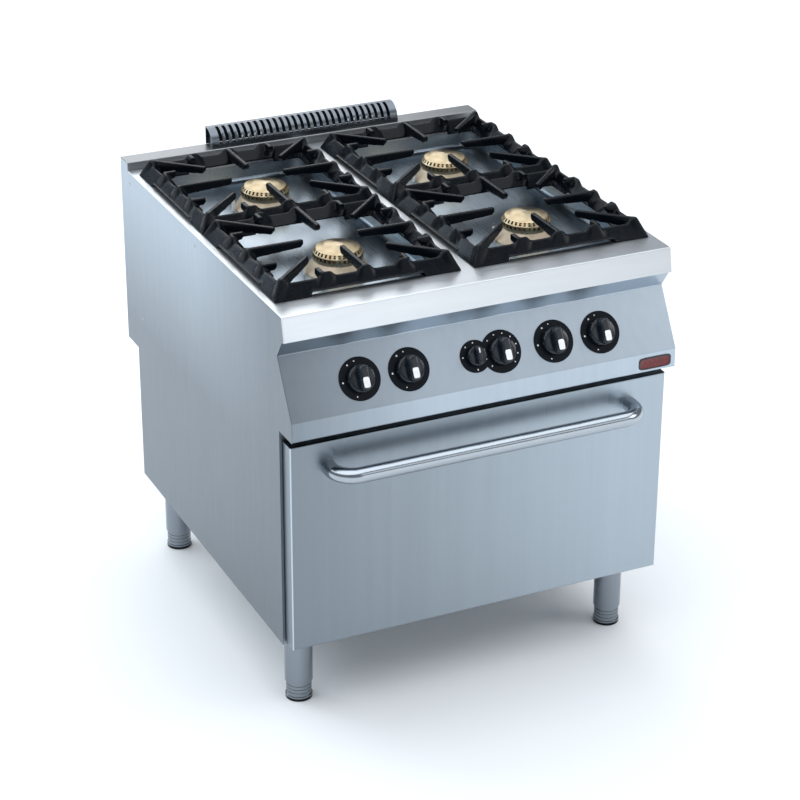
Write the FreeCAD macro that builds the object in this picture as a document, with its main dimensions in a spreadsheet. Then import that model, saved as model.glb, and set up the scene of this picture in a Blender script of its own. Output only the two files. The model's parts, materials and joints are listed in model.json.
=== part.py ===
import FreeCAD, Part
import math
import os
from types import SimpleNamespace

import Sketcher

# Commercial gas range: four open burners over a gas oven, on four levelling feet.
# Frame: +Z up, X to the right, Y to the back, millimetres. The origin is on the floor,
# under the middle of the box that holds the whole range with its door handle.

# Driving dimensions. Positions ending in _y or _z are places in this frame.
DIMENSIONS = {
    # outer form
    "overall_width": 800,
    "worktop_z": 850,
    "cabinet_front_y": -368.5,
    "cabinet_bottom_z": 162,
    "back_y": 472.5,
    "service_back_y": 410.5,
    "service_top_z": 461,
    "skin": 1.5,
    "deck_gauge": 2,
    "flange_width": 28,
    "seam_gap": 0.5,
    # worktop nose and rear ledge
    "nose_y": -389.5,
    "nose_foot_y": -399.5,
    "nose_foot_z": 801,
    "nose_return": 8,
    "ledge_y": 429.5,
    "ledge_z": 867,
    "ledge_flange_z": 845,
    "bend_radius": 3,
    # control console
    "recess_y": -364.5,
    "recess_z": 764,
    "console_tilt": 60,
    "console_drop": 68,
    "lip_y": -427.5,
    "lip_bottom_z": 616,
    "shaft_hole_radius": 6,
    # spill wells
    "hob_x": 200.5,
    "front_burner_y": -148.5,
    "burner_pitch": 362,
    "well_width": 351,
    "well_length": 699,
    "well_corner": 42,
    "well_floor_z": 812,
    "well_taper": 14,
    "well_bend": 10,
    "well_rim": 5,
    "burner_hole_radius": 45,
    # burners
    "burner_shift": 16,
    "cup_radius": 44,
    "cup_bottom_z": 770,
    "cup_bore_radius": 20,
    "flare_radius": 62,
    "flare_edge": 3,
    "seat_radius": 47,
    "seat_z": 838,
    "mixing_tube_radius": 18,
    "mixing_tube_wall": 3,
    "mixing_tube_reach": 104,
    "mixing_tube_z": 785,
    "spigot_gap": 0.4,
    "spigot_drop": 10,
    "crown_radius": 48.5,
    "crown_shoulder": 13.5,
    "crown_floor": 6,
    "crown_wall": 12,
    "crown_roof": 2.3,
    "cap_radius": 42,
    "cap_edge": 9,
    "cap_rise": 6,
    "cap_flat_radius": 10,
    "port_width": 5,
    "port_height": 6.2,
    "port_row_gap": 1.2,
    "igniter_radius": 3.2,
    "igniter_offset": 66,
    "igniter_back": 8,
    "igniter_height": 38,
    "pilot_radius": 6,
    "pilot_offset": 54,
    "pilot_height": 17,
    # pan supports
    "grate_width": 375,
    "grate_length": 361,
    "grate_lean": 17,
    "grate_base": 40,
    "ridge_z": 877,
    "ridge_width": 4,
    "finger_top_z": 887,
    "finger_width": 13,
    "finger_depth": 15,
    "finger_reach": 56,
    "corner_finger_reach": 112,
    "rib_spacing": 72,
    "rib_reach": 26,
    "grate_foot": 72,
    "grate_relief": 9,
    # oven
    "oven_half_width": 280,
    "oven_back_y": 330,
    "oven_bottom_z": 185,
    "oven_floor_z": 222,
    "oven_floor_gauge": 3,
    "oven_top_z": 530,
    "insulation": 40,
    "insulation_front_y": -336,
    "mouth_corner": 14,
    "frame_half_width": 370,
    "runner_pitch": 70,
    "first_runner_z": 300,
    "runner_width": 13,
    "guide_front_y": -340,
    "guide_length": 640,
    "rack_half_width": 262,
    "rack_front_y": -334,
    "rack_length": 640,
    "rack_frame_radius": 4,
    "rack_wire_radius": 2,
    "rack_rib_radius": 3,
    "rack_bend": 14,
    # frame
    "tube_side": 18,
    "tube_wall": 1.5,
    "frame_x": 396,
    "frame_front_y": -363,
    "frame_back_y": 404,
    "frame_top_z": 613,
    # door
    "door_front_y": -404.5,
    "door_back_y": -372,
    "door_half_width": 394,
    "door_bottom_z": 166,
    "door_top_z": 595,
    "door_panel_gap": 0.3,
    "plateau_margin": 8,
    "plateau_depth": 10,
    "hinge_y": -386,
    "hinge_z": 174,
    "hinge_x": 338,
    "hinge_pin_radius": 4,
    "hinge_clearance": 0.05,
    "hinge_arm_width": 8,
    "hinge_arm_radius": 6,
    "hinge_lug_width": 6,
    "hinge_slot_width": 10,
    "gasket_gap": 0.3,
    "gasket_width": 10,
    "handle_x": 318,
    "handle_y": -457.5,
    "handle_z": 541,
    "handle_radius": 15,
    "handle_wall": 2,
    "handle_bend": 42,
    # controls
    "bezel_radius": 41,
    "bezel_gauge": 1.2,
    "small_bezel_radius": 31,
    "bezel_waist": 38,
    "spindle_radius": 4,
    "spindle_clearance": 0.05,
    "spindle_depth": 29,
    "spindle_reach": 17,
    "knob_gap": 6,
    "knob_travel": 4,
    "knob_radius": 26.5,
    "knob_skirt": 7,
    "knob_shoulder": 3,
    "grip_width": 23,
    "grip_length": 49,
    "grip_height": 19,
    "small_knob_radius": 19,
    "small_knob_height": 20,
    "tap_radius": 14,
    "gland_radius": 9,
    "tap_front": 2,
    "gland_length": 10,
    "tap_length": 38,
    # gas pipes
    "manifold_radius": 13.5,
    "manifold_depth": 68,
    "boss_radius": 10,
    "gas_tube_radius": 4,
    "gas_tube_bend": 22,
    "gas_tube_run": 42,
    "gas_lane_x": 128,
    "gas_lane_z": 758,
    "pipe_bend": 34,
    "supply_x": 345,
    "supply_z": 230,
    "supply_back_y": 370,
    "inlet_radius": 10.5,
    "inlet_length": 24,
    # flue
    "flue_half_width": 212,
    "flue_front_y": 432.5,
    "flue_top_z": 905,
    "flue_round": 34,
    "flue_recess": 6,
    "flue_plate": 3,
    "slot_width": 7,
    "slot_pitch": 14.2,
    "slot_foot_z": 876,
    "slot_back_y": 463,
    "duct_half_width": 180,
    "duct_front_y": 434,
    "duct_depth": 32,
    "duct_neck_half_width": 60,
    "duct_neck_height": 30,
    # feet
    "foot_x": 344,
    "front_foot_y": -308.5,
    "rear_foot_y": 359.5,
    "sleeve_radius": 27.5,
    "sleeve_bottom_z": 40,
    "foot_gap": 0.4,
    "foot_radius": 25,
    "foot_top_z": 116,
    "foot_pad_radius": 26.5,
    "foot_pad_height": 9,
    "groove_depth": 0.9,
    "groove_width": 1.6,
    # badge and screws
    "badge_x": 320,
    "badge_width": 70,
    "badge_height": 25,
    "badge_gauge": 1.5,
    "badge_corner": 6,
    "screw_radius": 3.6,
    "screw_gap": 0.2,
    "screw_inset": 12,
    "screw_z": 826,
}

# Places across the console, from the left.
BURNER_KNOB_X = {
    "front_left": -252.5,
    "rear_left": -153.5,
    "rear_right": 147.5,
    "front_right": 247.5,
}
SELECTOR_X = -17.5
THERMOSTAT_X = 36.5

document = FreeCAD.newDocument("gas_range")
sheet = document.addObject("Spreadsheet::Sheet", "Sizes")
nodes = []


class Size:
    """A length or angle, with the formula over the sheet that gives it."""

    def __init__(self, value, text):
        self.value = float(value)
        self.text = text

    def __float__(self):
        return self.value

    def __add__(self, other):
        return Size(self.value + float(other), f"({self.text} + {text_of(other)})")

    def __radd__(self, other):
        return Size(float(other) + self.value, f"({text_of(other)} + {self.text})")

    def __sub__(self, other):
        return Size(self.value - float(other), f"({self.text} - {text_of(other)})")

    def __rsub__(self, other):
        return Size(float(other) - self.value, f"({text_of(other)} - {self.text})")

    def __mul__(self, other):
        return Size(self.value * float(other), f"({self.text} * {text_of(other)})")

    def __rmul__(self, other):
        return self * other

    def __truediv__(self, other):
        return Size(self.value / float(other), f"({self.text} / {text_of(other)})")

    def __neg__(self):
        return Size(-self.value, f"(0 - {self.text})")


def text_of(value):
    return value.text if isinstance(value, Size) else f"({float(value):g})"


def sine(angle):
    return Size(math.sin(math.radians(float(angle))), f"sin({text_of(angle)})")


def cosine(angle):
    return Size(math.cos(math.radians(float(angle))), f"cos({text_of(angle)})")


def fill_sheet():
    """Write the driving dimensions and return them as sizes."""
    sizes = {}
    for row, (name, value) in enumerate(DIMENSIONS.items(), start=1):
        sheet.set(f"A{row}", name.replace("_", " "))
        sheet.set(f"B{row}", str(value))
        sheet.setAlias(f"B{row}", name)
        sizes[name] = Size(value, f"Sizes.{name}")
    document.recompute()
    return SimpleNamespace(**sizes)


size = fill_sheet()
HALF = size.overall_width / 2
CONSOLE_SLOPE = sine(size.console_tilt) / cosine(size.console_tilt)
LIP_TOP_Z = size.recess_z - (size.recess_y - size.lip_y) * CONSOLE_SLOPE
CONTROL_Y = size.recess_y - size.console_drop * cosine(size.console_tilt)
CONTROL_Z = size.recess_z - size.console_drop * sine(size.console_tilt)
REAR_BURNER_Y = size.front_burner_y + size.burner_pitch
HOBS = {
    "front_left": (-size.hob_x, size.front_burner_y),
    "front_right": (size.hob_x, size.front_burner_y),
    "rear_left": (-size.hob_x, REAR_BURNER_Y),
    "rear_right": (size.hob_x, REAR_BURNER_Y),
}
# each burner stands to the right of its hob's middle, which leaves room for its pilot
BURNERS = {name: (x + size.burner_shift, y) for name, (x, y) in HOBS.items()}
FEET = {
    "front_left": (-size.foot_x, size.front_foot_y),
    "front_right": (size.foot_x, size.front_foot_y),
    "rear_left": (-size.foot_x, size.rear_foot_y),
    "rear_right": (size.foot_x, size.rear_foot_y),
}


# ---------------------------------------------------------------- building blocks

def bind(thing, name, value):
    """Set a property, bound to the sheet where the value comes from it."""
    if isinstance(value, Size):
        thing.setExpression(name, value.text)
    elif "." not in name:
        setattr(thing, name, float(value))
    elif value:
        thing.setExpression(name, f"{float(value):g}")


def put(thing, x=0, y=0, z=0, tilt=None):
    """Place an object, and lean it back about X where tilt is given."""
    if tilt is not None:
        turn = FreeCAD.Rotation(FreeCAD.Vector(1, 0, 0), float(tilt))
        thing.Placement = FreeCAD.Placement(FreeCAD.Vector(), turn)
        bind(thing, "Placement.Rotation.Angle", tilt)
    bind(thing, "Placement.Base.x", x)
    bind(thing, "Placement.Base.y", y)
    bind(thing, "Placement.Base.z", z)
    return thing


def box(low, lengths):
    """A box from its low corner and its three lengths."""
    thing = document.addObject("Part::Box", "Block")
    for name, length in zip(("Length", "Width", "Height"), lengths):
        bind(thing, name, length)
    return put(thing, *low)


AXES = {
    "x": FreeCAD.Rotation(FreeCAD.Vector(0, 1, 0), 90),
    "y": FreeCAD.Rotation(FreeCAD.Vector(1, 0, 0), -90),
    "z": FreeCAD.Rotation(),
}


def cylinder(start, radius, length, axis="z"):
    """A cylinder from the middle of its first end, along +X, +Y or +Z."""
    thing = document.addObject("Part::Cylinder", "Round")
    bind(thing, "Radius", radius)
    bind(thing, "Height", length)
    thing.Placement = FreeCAD.Placement(FreeCAD.Vector(), AXES[axis])
    return put(thing, *start)


def frustum(low, base, top, inset, height):
    """A block with a rectangular base and a top drawn in by inset on all four sides."""
    thing = document.addObject("Part::Wedge", "Frustum")
    bind(thing, "Xmin", 0)
    bind(thing, "Zmin", 0)
    bind(thing, "Ymin", 0)
    bind(thing, "Xmax", base[0])
    bind(thing, "Zmax", base[1])
    bind(thing, "Ymax", height)
    bind(thing, "X2min", inset)
    bind(thing, "Z2min", inset)
    bind(thing, "X2max", inset + top[0])
    bind(thing, "Z2max", inset + top[1])
    upright = FreeCAD.Rotation(FreeCAD.Vector(1, 0, 0), 90)
    thing.Placement = FreeCAD.Placement(FreeCAD.Vector(), upright)
    return put(thing, low[0], low[1] + base[1], low[2])


def join(parts, kind="Part::MultiFuse"):
    """Parts as one: fused, or side by side when kind is Part::Compound."""
    if len(parts) == 1:
        return parts[0]
    thing = document.addObject(kind, "Joined")
    if kind == "Part::Compound":
        thing.Links = parts
    else:
        thing.Shapes = parts
    return thing


def cut(base, tools):
    thing = document.addObject("Part::Cut", "Cut")
    thing.Base = base
    thing.Tool = join(tools)
    return thing


def copy_of(pattern):
    """Another of the same piece, which gets a place of its own."""
    thing = document.addObject("Part::Compound", "Copy")
    thing.Links = [pattern]
    return thing


def node(label, thing):
    """Name a finished piece and keep it for export."""
    thing.Label = label
    nodes.append(thing)
    return thing


def new_body():
    return document.addObject("PartDesign::Body", "Body")


def new_sketch(body, plane, offset=0):
    """A sketch on one of the body's origin planes, raised by offset along its normal."""
    sketch = body.newObject("Sketcher::SketchObject", "Sketch")
    support = [item for item in body.Origin.OriginFeatures if item.Role == plane]
    sketch.AttachmentSupport = [(support[0], "")]
    sketch.MapMode = "FlatFace"
    bind(sketch, "AttachmentOffset.Base.z", offset)
    return sketch


def fix_point(sketch, edge, end, point):
    """Hold one end of an edge at a place measured from the sketch's origin."""
    for kind, value in zip(("DistanceX", "DistanceY"), point):
        index = sketch.addConstraint(Sketcher.Constraint(kind, -1, 1, edge, end, float(value)))
        if isinstance(value, Size):
            sketch.setExpression(f"Constraints[{index}]", value.text)


def polygon(body, plane, corners, offset=0):
    """A closed outline of straight edges through the corners."""
    sketch = new_sketch(body, plane, offset)
    points = [FreeCAD.Vector(float(a), float(b), 0) for a, b in corners]
    count = len(points)
    for index in range(count):
        sketch.addGeometry(Part.LineSegment(points[index], points[(index + 1) % count]), False)
    for index in range(count):
        sketch.addConstraint(Sketcher.Constraint("Coincident", index, 2, (index + 1) % count, 1))
    for index, corner in enumerate(corners):
        fix_point(sketch, index, 1, corner)
    return sketch


def circle(sketch, centre, radius):
    middle = FreeCAD.Vector(float(centre[0]), float(centre[1]), 0)
    edge = sketch.addGeometry(Part.Circle(middle, FreeCAD.Vector(0, 0, 1), float(radius)), False)
    fix_point(sketch, edge, 3, centre)
    index = sketch.addConstraint(Sketcher.Constraint("Radius", edge, float(radius)))
    if isinstance(radius, Size):
        sketch.setExpression(f"Constraints[{index}]", radius.text)


def rectangle(body, plane, low, high, offset=0):
    corners = [low, (high[0], low[1]), high, (low[0], high[1])]
    return polygon(body, plane, corners, offset)


def pad(body, sketch, length, backwards=False, taper=None):
    feature = body.newObject("PartDesign::Pad", "Pad")
    feature.Profile = sketch
    feature.Reversed = backwards
    bind(feature, "Length", length)
    if taper is not None:
        bind(feature, "TaperAngle", taper)
    return feature


def pocket(body, sketch, length, backwards=False, taper=None):
    """Cut a sketch out of the body, and make sure that it did cut."""
    document.recompute()
    volume = body.Shape.Volume
    feature = body.newObject("PartDesign::Pocket", "Pocket")
    feature.Profile = sketch
    feature.Reversed = backwards
    bind(feature, "Length", length)
    if taper is not None:
        bind(feature, "TaperAngle", taper)
    document.recompute()
    if body.Shape.Volume > volume - 1:
        raise RuntimeError("a pocket removed nothing")
    return feature


def round_edges(body, radius, chosen):
    """Round the edges of the body for which chosen(middle, edge) holds."""
    document.recompute()
    tip = body.Tip
    names = []
    for index, edge in enumerate(tip.Shape.Edges, start=1):
        if chosen(edge.CenterOfMass, edge):
            names.append(f"Edge{index}")
    if not names:
        raise RuntimeError("no edge to round")
    feature = body.newObject("PartDesign::Fillet", "Fillet")
    feature.Base = (tip, names)
    bind(feature, "Radius", radius)
    return feature


def near(first, second):
    return abs(float(first) - float(second)) < 0.01


def turned(outline, radial_plane="XZ_Plane"):
    """A solid of revolution about Z, from (radius, height) corners."""
    body = new_body()
    sketch = polygon(body, radial_plane, outline)
    feature = body.newObject("PartDesign::Revolution", "Revolution")
    feature.Profile = sketch
    feature.ReferenceAxis = (sketch, ["V_Axis"])
    feature.Angle = 360
    return body


def rounded_wire(points, radius):
    """Straight runs through the points, joined by tangent arcs."""
    edges = []
    start = points[0]
    for before, corner, after in zip(points, points[1:], points[2:]):
        arriving = (corner - before).normalize()
        leaving = (after - corner).normalize()
        turn = arriving.getAngle(leaving)
        setback = radius * math.tan(turn / 2)
        first = corner - arriving * setback
        last = corner + leaving * setback
        inward = (leaving - arriving).normalize()
        middle = corner + inward * (radius / math.cos(turn / 2) - radius)
        edges.append(Part.LineSegment(start, first).toShape())
        edges.append(Part.Arc(first, middle, last).toShape())
        start = last
    edges.append(Part.LineSegment(start, points[-1]).toShape())
    return Part.Wire(edges)


def bent_rod(points, radius, bend, bore=0):
    """A round rod or pipe along straight runs and arcs."""
    path = rounded_wire(points, float(bend))
    direction = points[1] - points[0]
    outer = Part.Wire(Part.makeCircle(float(radius), points[0], direction))
    solid = path.makePipeShell([outer], True, False)
    if bore:
        inner = Part.Wire(Part.makeCircle(float(bore), points[0], direction))
        solid = solid.cut(path.makePipeShell([inner], True, False))
    thing = document.addObject("Part::Feature", "Rod")
    thing.Shape = solid
    thing.Placement = FreeCAD.Placement()
    return thing


def vector(x, y, z):
    return FreeCAD.Vector(float(x), float(y), float(z))


def on_console(thing, x):
    """Put a piece that was built about Z square on to the console face at x."""
    return put(thing, x, CONTROL_Y, CONTROL_Z, size.console_tilt)


def console_point(x, upward, outward):
    """The place that lies up the console face and out from it, from the control line."""
    up_y = cosine(size.console_tilt)
    up_z = sine(size.console_tilt)
    return vector(x, CONTROL_Y + upward * up_y - outward * up_z, CONTROL_Z + upward * up_z + outward * up_y)


# ---------------------------------------------------------------- casing

def side_panel(name, side):
    """A side skin that follows the console's cheek, with its flanges turned inwards."""
    inside = size.deck_gauge
    outline = [
        (size.nose_y + inside, size.worktop_z - inside),
        (size.nose_foot_y + inside, size.nose_foot_z + inside),
        (size.nose_foot_y + size.nose_return, size.nose_foot_z + inside),
        (size.recess_y, size.recess_z),
        (size.lip_y, LIP_TOP_Z),
        (size.lip_y, size.lip_bottom_z),
        (size.cabinet_front_y, size.lip_bottom_z),
        (size.cabinet_front_y, size.cabinet_bottom_z),
        (size.service_back_y, size.cabinet_bottom_z),
        (size.service_back_y, size.service_top_z),
        (size.back_y, size.service_top_z),
        (size.back_y, size.ledge_flange_z),
        (size.back_y - inside, size.ledge_flange_z),
        (size.back_y - inside, size.ledge_z - inside),
        (size.ledge_y + inside, size.ledge_z - inside),
        (size.ledge_y + inside, size.worktop_z - inside),
    ]
    skin = new_body()
    pad(skin, polygon(skin, "YZ_Plane", outline), size.skin)
    put(skin, -HALF if side < 0 else HALF - size.skin)
    inner_x = -HALF + size.skin if side < 0 else HALF - size.skin - size.flange_width
    front_height = size.lip_bottom_z - size.cabinet_bottom_z
    depth = size.service_back_y - size.cabinet_front_y
    low_back = size.service_top_z - size.cabinet_bottom_z
    high_back = size.ledge_flange_z - size.service_top_z
    width = size.flange_width
    flanges = [
        box((inner_x, size.cabinet_front_y, size.cabinet_bottom_z), (width, size.skin, front_height)),
        box((inner_x, size.cabinet_front_y, size.cabinet_bottom_z), (width, depth, size.skin)),
        box((inner_x, size.service_back_y - size.skin, size.cabinet_bottom_z), (width, size.skin, low_back)),
        box((inner_x, size.back_y - size.skin, size.service_top_z), (width, size.skin, high_back)),
    ]
    hole_radius = size.screw_radius + size.screw_gap
    holes = []
    for y, z in screw_places():
        holes.append(cylinder((side * HALF - size.skin * 2, y, z), hole_radius, size.skin * 4, "x"))
    node(f"{name}_side_panel", cut(join([skin] + flanges), holes))


def worktop():
    """Deck, sloping nose and rear ledge bent from one sheet, with the well openings."""
    gauge = size.deck_gauge
    foot_return_y = size.nose_foot_y + size.nose_return
    outline = [
        (foot_return_y, size.nose_foot_z),
        (size.nose_foot_y, size.nose_foot_z),
        (size.nose_y, size.worktop_z),
        (size.ledge_y, size.worktop_z),
        (size.ledge_y, size.ledge_z),
        (size.back_y, size.ledge_z),
        (size.back_y, size.ledge_flange_z),
        (size.back_y - gauge, size.ledge_flange_z),
        (size.back_y - gauge, size.ledge_z - gauge),
        (size.ledge_y + gauge, size.ledge_z - gauge),
        (size.ledge_y + gauge, size.worktop_z - gauge),
        (size.nose_y + gauge, size.worktop_z - gauge),
        (size.nose_foot_y + gauge, size.nose_foot_z + gauge),
        (foot_return_y, size.nose_foot_z + gauge),
    ]
    body = new_body()
    pad(body, polygon(body, "YZ_Plane", outline, -HALF), size.overall_width)
    bends = [
        (size.nose_y, size.worktop_z),
        (size.nose_foot_y, size.nose_foot_z),
        (size.ledge_y, size.ledge_z),
        (size.back_y, size.ledge_z),
    ]

    def is_bend(middle, edge):
        return any(near(middle.y, y) and near(middle.z, z) for y, z in bends) and near(middle.x, 0)

    def is_deck_end(middle, edge):
        on_top = near(middle.z, size.worktop_z) or near(middle.z, size.ledge_z)
        return on_top and near(abs(middle.x), HALF)

    round_edges(body, size.bend_radius, is_bend)
    round_edges(body, size.skin, is_deck_end)
    openings = []
    for side in (-1, 1):
        tool = new_body()
        sketch = well_outline(tool, side, 0, size.worktop_z - gauge - gauge)
        pad(tool, sketch, gauge * 3)
        round_edges(tool, size.well_corner, is_upright)
        openings.append(tool)
    duct = size.duct_half_width + size.skin
    neck = (duct * 2, size.duct_depth + size.skin * 2, gauge * 3)
    openings.append(box((-duct, size.duct_front_y - size.skin, size.ledge_z - gauge * 2), neck))
    node("worktop", cut(body, openings))


def is_upright(middle, edge):
    return near(edge.Vertexes[0].X, edge.Vertexes[-1].X) and near(edge.Vertexes[0].Y, edge.Vertexes[-1].Y)


def well_outline(body, side, inset, height):
    """The outline of a spill well, drawn in by inset, at a height."""
    middle_x = size.hob_x * side
    middle_y = size.front_burner_y + size.burner_pitch / 2
    across = size.well_width / 2 - inset
    along = size.well_length / 2 - inset
    low = (middle_x - across, middle_y - along)
    high = (middle_x + across, middle_y + along)
    return rectangle(body, "XY_Plane", low, high, height)


def spill_well(name, side):
    """A pressed pan under two burners: rim below the deck, drafted walls, two burner holes."""
    rim_z = size.worktop_z - size.deck_gauge
    depth = rim_z - size.well_floor_z
    body = new_body()
    pad(body, well_outline(body, side, 0, rim_z), depth + size.skin, True, -size.well_taper)
    pad(body, well_outline(body, side, -size.well_rim, rim_z), size.skin, True)
    pocket(body, well_outline(body, side, size.skin, rim_z), depth, False, -size.well_taper)

    def is_inner_corner(middle, edge):
        return is_climbing(edge) and near(foot_of(edge), size.well_floor_z)

    def is_outer_corner(middle, edge):
        return is_climbing(edge) and near(foot_of(edge), size.well_floor_z - size.skin)

    def is_rim_corner(middle, edge):
        return is_climbing(edge) and near(edge.Length, size.skin)

    round_edges(body, size.well_corner - size.skin, is_inner_corner)
    round_edges(body, size.well_corner, is_outer_corner)
    round_edges(body, size.well_corner, is_rim_corner)
    round_edges(body, size.well_bend, lambda middle, edge: near(middle.z, size.well_floor_z))
    holes = new_sketch(body, "XY_Plane", size.well_floor_z + 1)
    for burner_y in (size.front_burner_y, REAR_BURNER_Y):
        circle(holes, (size.hob_x * side + size.burner_shift, burner_y), size.burner_hole_radius)
    pocket(body, holes, size.skin + 2)
    node(f"{name}_well", body)


def foot_of(edge):
    """The height of an edge's lower end."""
    return min(vertex.Z for vertex in edge.Vertexes)


def is_climbing(edge):
    """An edge that climbs, so it isn't part of a level outline."""
    return abs(edge.Vertexes[0].Z - edge.Vertexes[-1].Z) > 1


def console():
    """The control panel: sloping recess, control face, lip and underside, bent from one sheet."""
    back = size.skin / cosine(90 - size.console_tilt)
    outline = [
        (size.nose_foot_y + size.nose_return, size.nose_foot_z),
        (size.recess_y, size.recess_z),
        (size.lip_y, LIP_TOP_Z),
        (size.lip_y, size.lip_bottom_z),
        (size.cabinet_front_y, size.lip_bottom_z),
        (size.cabinet_front_y, size.lip_bottom_z + size.skin),
        (size.lip_y + size.skin, size.lip_bottom_z + size.skin),
        (size.lip_y + size.skin, LIP_TOP_Z),
        (size.recess_y + back, size.recess_z),
        (size.nose_foot_y + size.nose_return + back, size.nose_foot_z),
    ]
    width = size.overall_width - size.skin * 2
    body = new_body()
    pad(body, polygon(body, "YZ_Plane", outline, -HALF + size.skin), width)
    bends = [(size.recess_y, size.recess_z), (size.lip_y, LIP_TOP_Z), (size.lip_y, size.lip_bottom_z)]

    def is_bend(middle, edge):
        return any(near(middle.y, y) and near(middle.z, z) for y, z in bends) and near(middle.x, 0)

    round_edges(body, size.bend_radius, is_bend)
    holes = []
    for x in list(BURNER_KNOB_X.values()) + [SELECTOR_X, THERMOSTAT_X]:
        hole = cylinder((0, 0, -size.bend_radius * 2), size.shaft_hole_radius, size.bend_radius * 4)
        holes.append(on_console(copy_of(hole), x))
    node("console_panel", cut(body, holes))


def back_panel():
    """The rear cover, stepped in above the service recess."""
    low_y = size.service_back_y - size.skin
    high_y = size.back_y - size.skin
    low_z = size.cabinet_bottom_z + size.skin * 2
    high_z = size.ledge_flange_z - size.seam_gap
    gauge = size.skin
    outline = [
        (low_y, low_z),
        (low_y, size.service_top_z),
        (high_y, size.service_top_z),
        (high_y, high_z),
        (high_y - gauge, high_z),
        (high_y - gauge, size.service_top_z + gauge),
        (low_y - gauge, size.service_top_z + gauge),
        (low_y - gauge, low_z),
    ]
    body = new_body()
    width = size.overall_width - gauge * 2
    pad(body, polygon(body, "YZ_Plane", outline, -HALF + gauge), width)
    inlet_start = (size.supply_x, low_y - gauge * 2, size.supply_z)
    inlet = cylinder(inlet_start, size.manifold_radius + 1, gauge * 4, "y")
    node("back_panel", cut(body, [inlet]))


def base_panel():
    """The floor of the cabinet, resting on the side panels' flanges."""
    x = HALF - size.skin
    front_y = size.cabinet_front_y + size.skin
    low = (-x, front_y, size.cabinet_bottom_z + size.skin)
    depth = size.service_back_y - size.skin - front_y
    node("base_panel", box(low, (x * 2, depth, size.skin)))


def square_tube(low, lengths, along):
    """A square tube in a box's place, open at both ends of its length."""
    wall = size.tube_wall
    inner_low = [place if axis == along else place + wall for axis, place in enumerate(low)]
    inner = [length if axis == along else length - wall * 2 for axis, length in enumerate(lengths)]
    return cut(box(low, lengths), [box(inner_low, inner)])


def chassis_frame():
    """The welded frame: four posts between a lower and an upper ring of square tube."""
    side = size.tube_side
    low_z = size.cabinet_bottom_z + size.skin * 2
    ring_z = (low_z, size.frame_top_z - side)
    depth = size.frame_back_y - size.frame_front_y
    tubes = []
    for z in ring_z:
        for y in (size.frame_front_y, size.frame_back_y - side):
            tubes.append(square_tube((-size.frame_x, y, z), (size.frame_x * 2, side, side), 0))
        for x in (-size.frame_x, size.frame_x - side):
            start = (x, size.frame_front_y + side, z)
            tubes.append(square_tube(start, (side, depth - side * 2, side), 1))
    height = ring_z[1] - ring_z[0] - side
    for x in (-size.frame_x, size.frame_x - side):
        for y in (size.frame_front_y, size.frame_back_y - side):
            tubes.append(square_tube((x, y, low_z + side), (side, side, height), 2))
    node("chassis_frame", join(tubes))


# ---------------------------------------------------------------- feet

def foot_sleeves():
    sleeves = []
    height = size.cabinet_bottom_z - size.sleeve_bottom_z
    cavity = height - size.tube_side / 3
    for x, y in FEET.values():
        outside = cylinder((x, y, size.sleeve_bottom_z), size.sleeve_radius, height)
        inside = cylinder((x, y, size.sleeve_bottom_z), size.foot_radius + size.foot_gap, cavity)
        sleeves.append(cut(outside, [inside]))
    node("foot_sleeves", join(sleeves, "Part::Compound"))


def levelling_feet():
    """Each foot is a grooved stem on a wider pad, and slides in its sleeve."""
    groove_step = (size.sleeve_bottom_z - size.foot_pad_height) / 4
    outline = [(0, 0), (size.foot_pad_radius - size.groove_depth, 0)]
    outline += [(size.foot_pad_radius, size.groove_depth), (size.foot_pad_radius, size.foot_pad_height)]
    outline += [(size.foot_radius, size.foot_pad_height)]
    for step in (1, 2, 3):
        z = size.foot_pad_height + groove_step * step
        inner = size.foot_radius - size.groove_depth
        outline += [(size.foot_radius, z), (inner, z), (inner, z + size.groove_width)]
        outline += [(size.foot_radius, z + size.groove_width)]
    outline += [(size.foot_radius, size.foot_top_z), (0, size.foot_top_z)]
    pattern = turned(outline)
    for name, (x, y) in FEET.items():
        node(f"levelling_foot_{name}", put(copy_of(pattern), x, y))


# ---------------------------------------------------------------- hob

def burner_bases():
    """The four cast burner bodies: cup, mixing tube and the flared seat in the well."""
    outline = [
        (size.cup_bore_radius, size.cup_bottom_z + size.crown_floor),
        (size.cup_bore_radius, size.seat_z),
        (size.seat_radius, size.seat_z),
        (size.flare_radius, size.well_floor_z + size.flare_edge),
        (size.flare_radius, size.well_floor_z),
        (size.cup_radius, size.well_floor_z),
        (size.cup_radius, size.cup_bottom_z),
        (0, size.cup_bottom_z),
        (0, size.cup_bottom_z + size.crown_floor),
    ]
    cup = turned(outline)
    reach = size.mixing_tube_reach
    start = (0, -reach, size.mixing_tube_z)
    tube = cylinder(start, size.mixing_tube_radius, reach - size.cup_bore_radius, "y")
    bore_radius = size.mixing_tube_radius - size.mixing_tube_wall
    bore = cylinder(start, bore_radius, reach, "y")
    pattern = cut(join([cup, tube]), [bore])
    bases = [put(copy_of(pattern), x, y) for x, y in BURNERS.values()]
    node("burner_bases", join(bases, "Part::Compound"))


PORTS = 32


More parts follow.
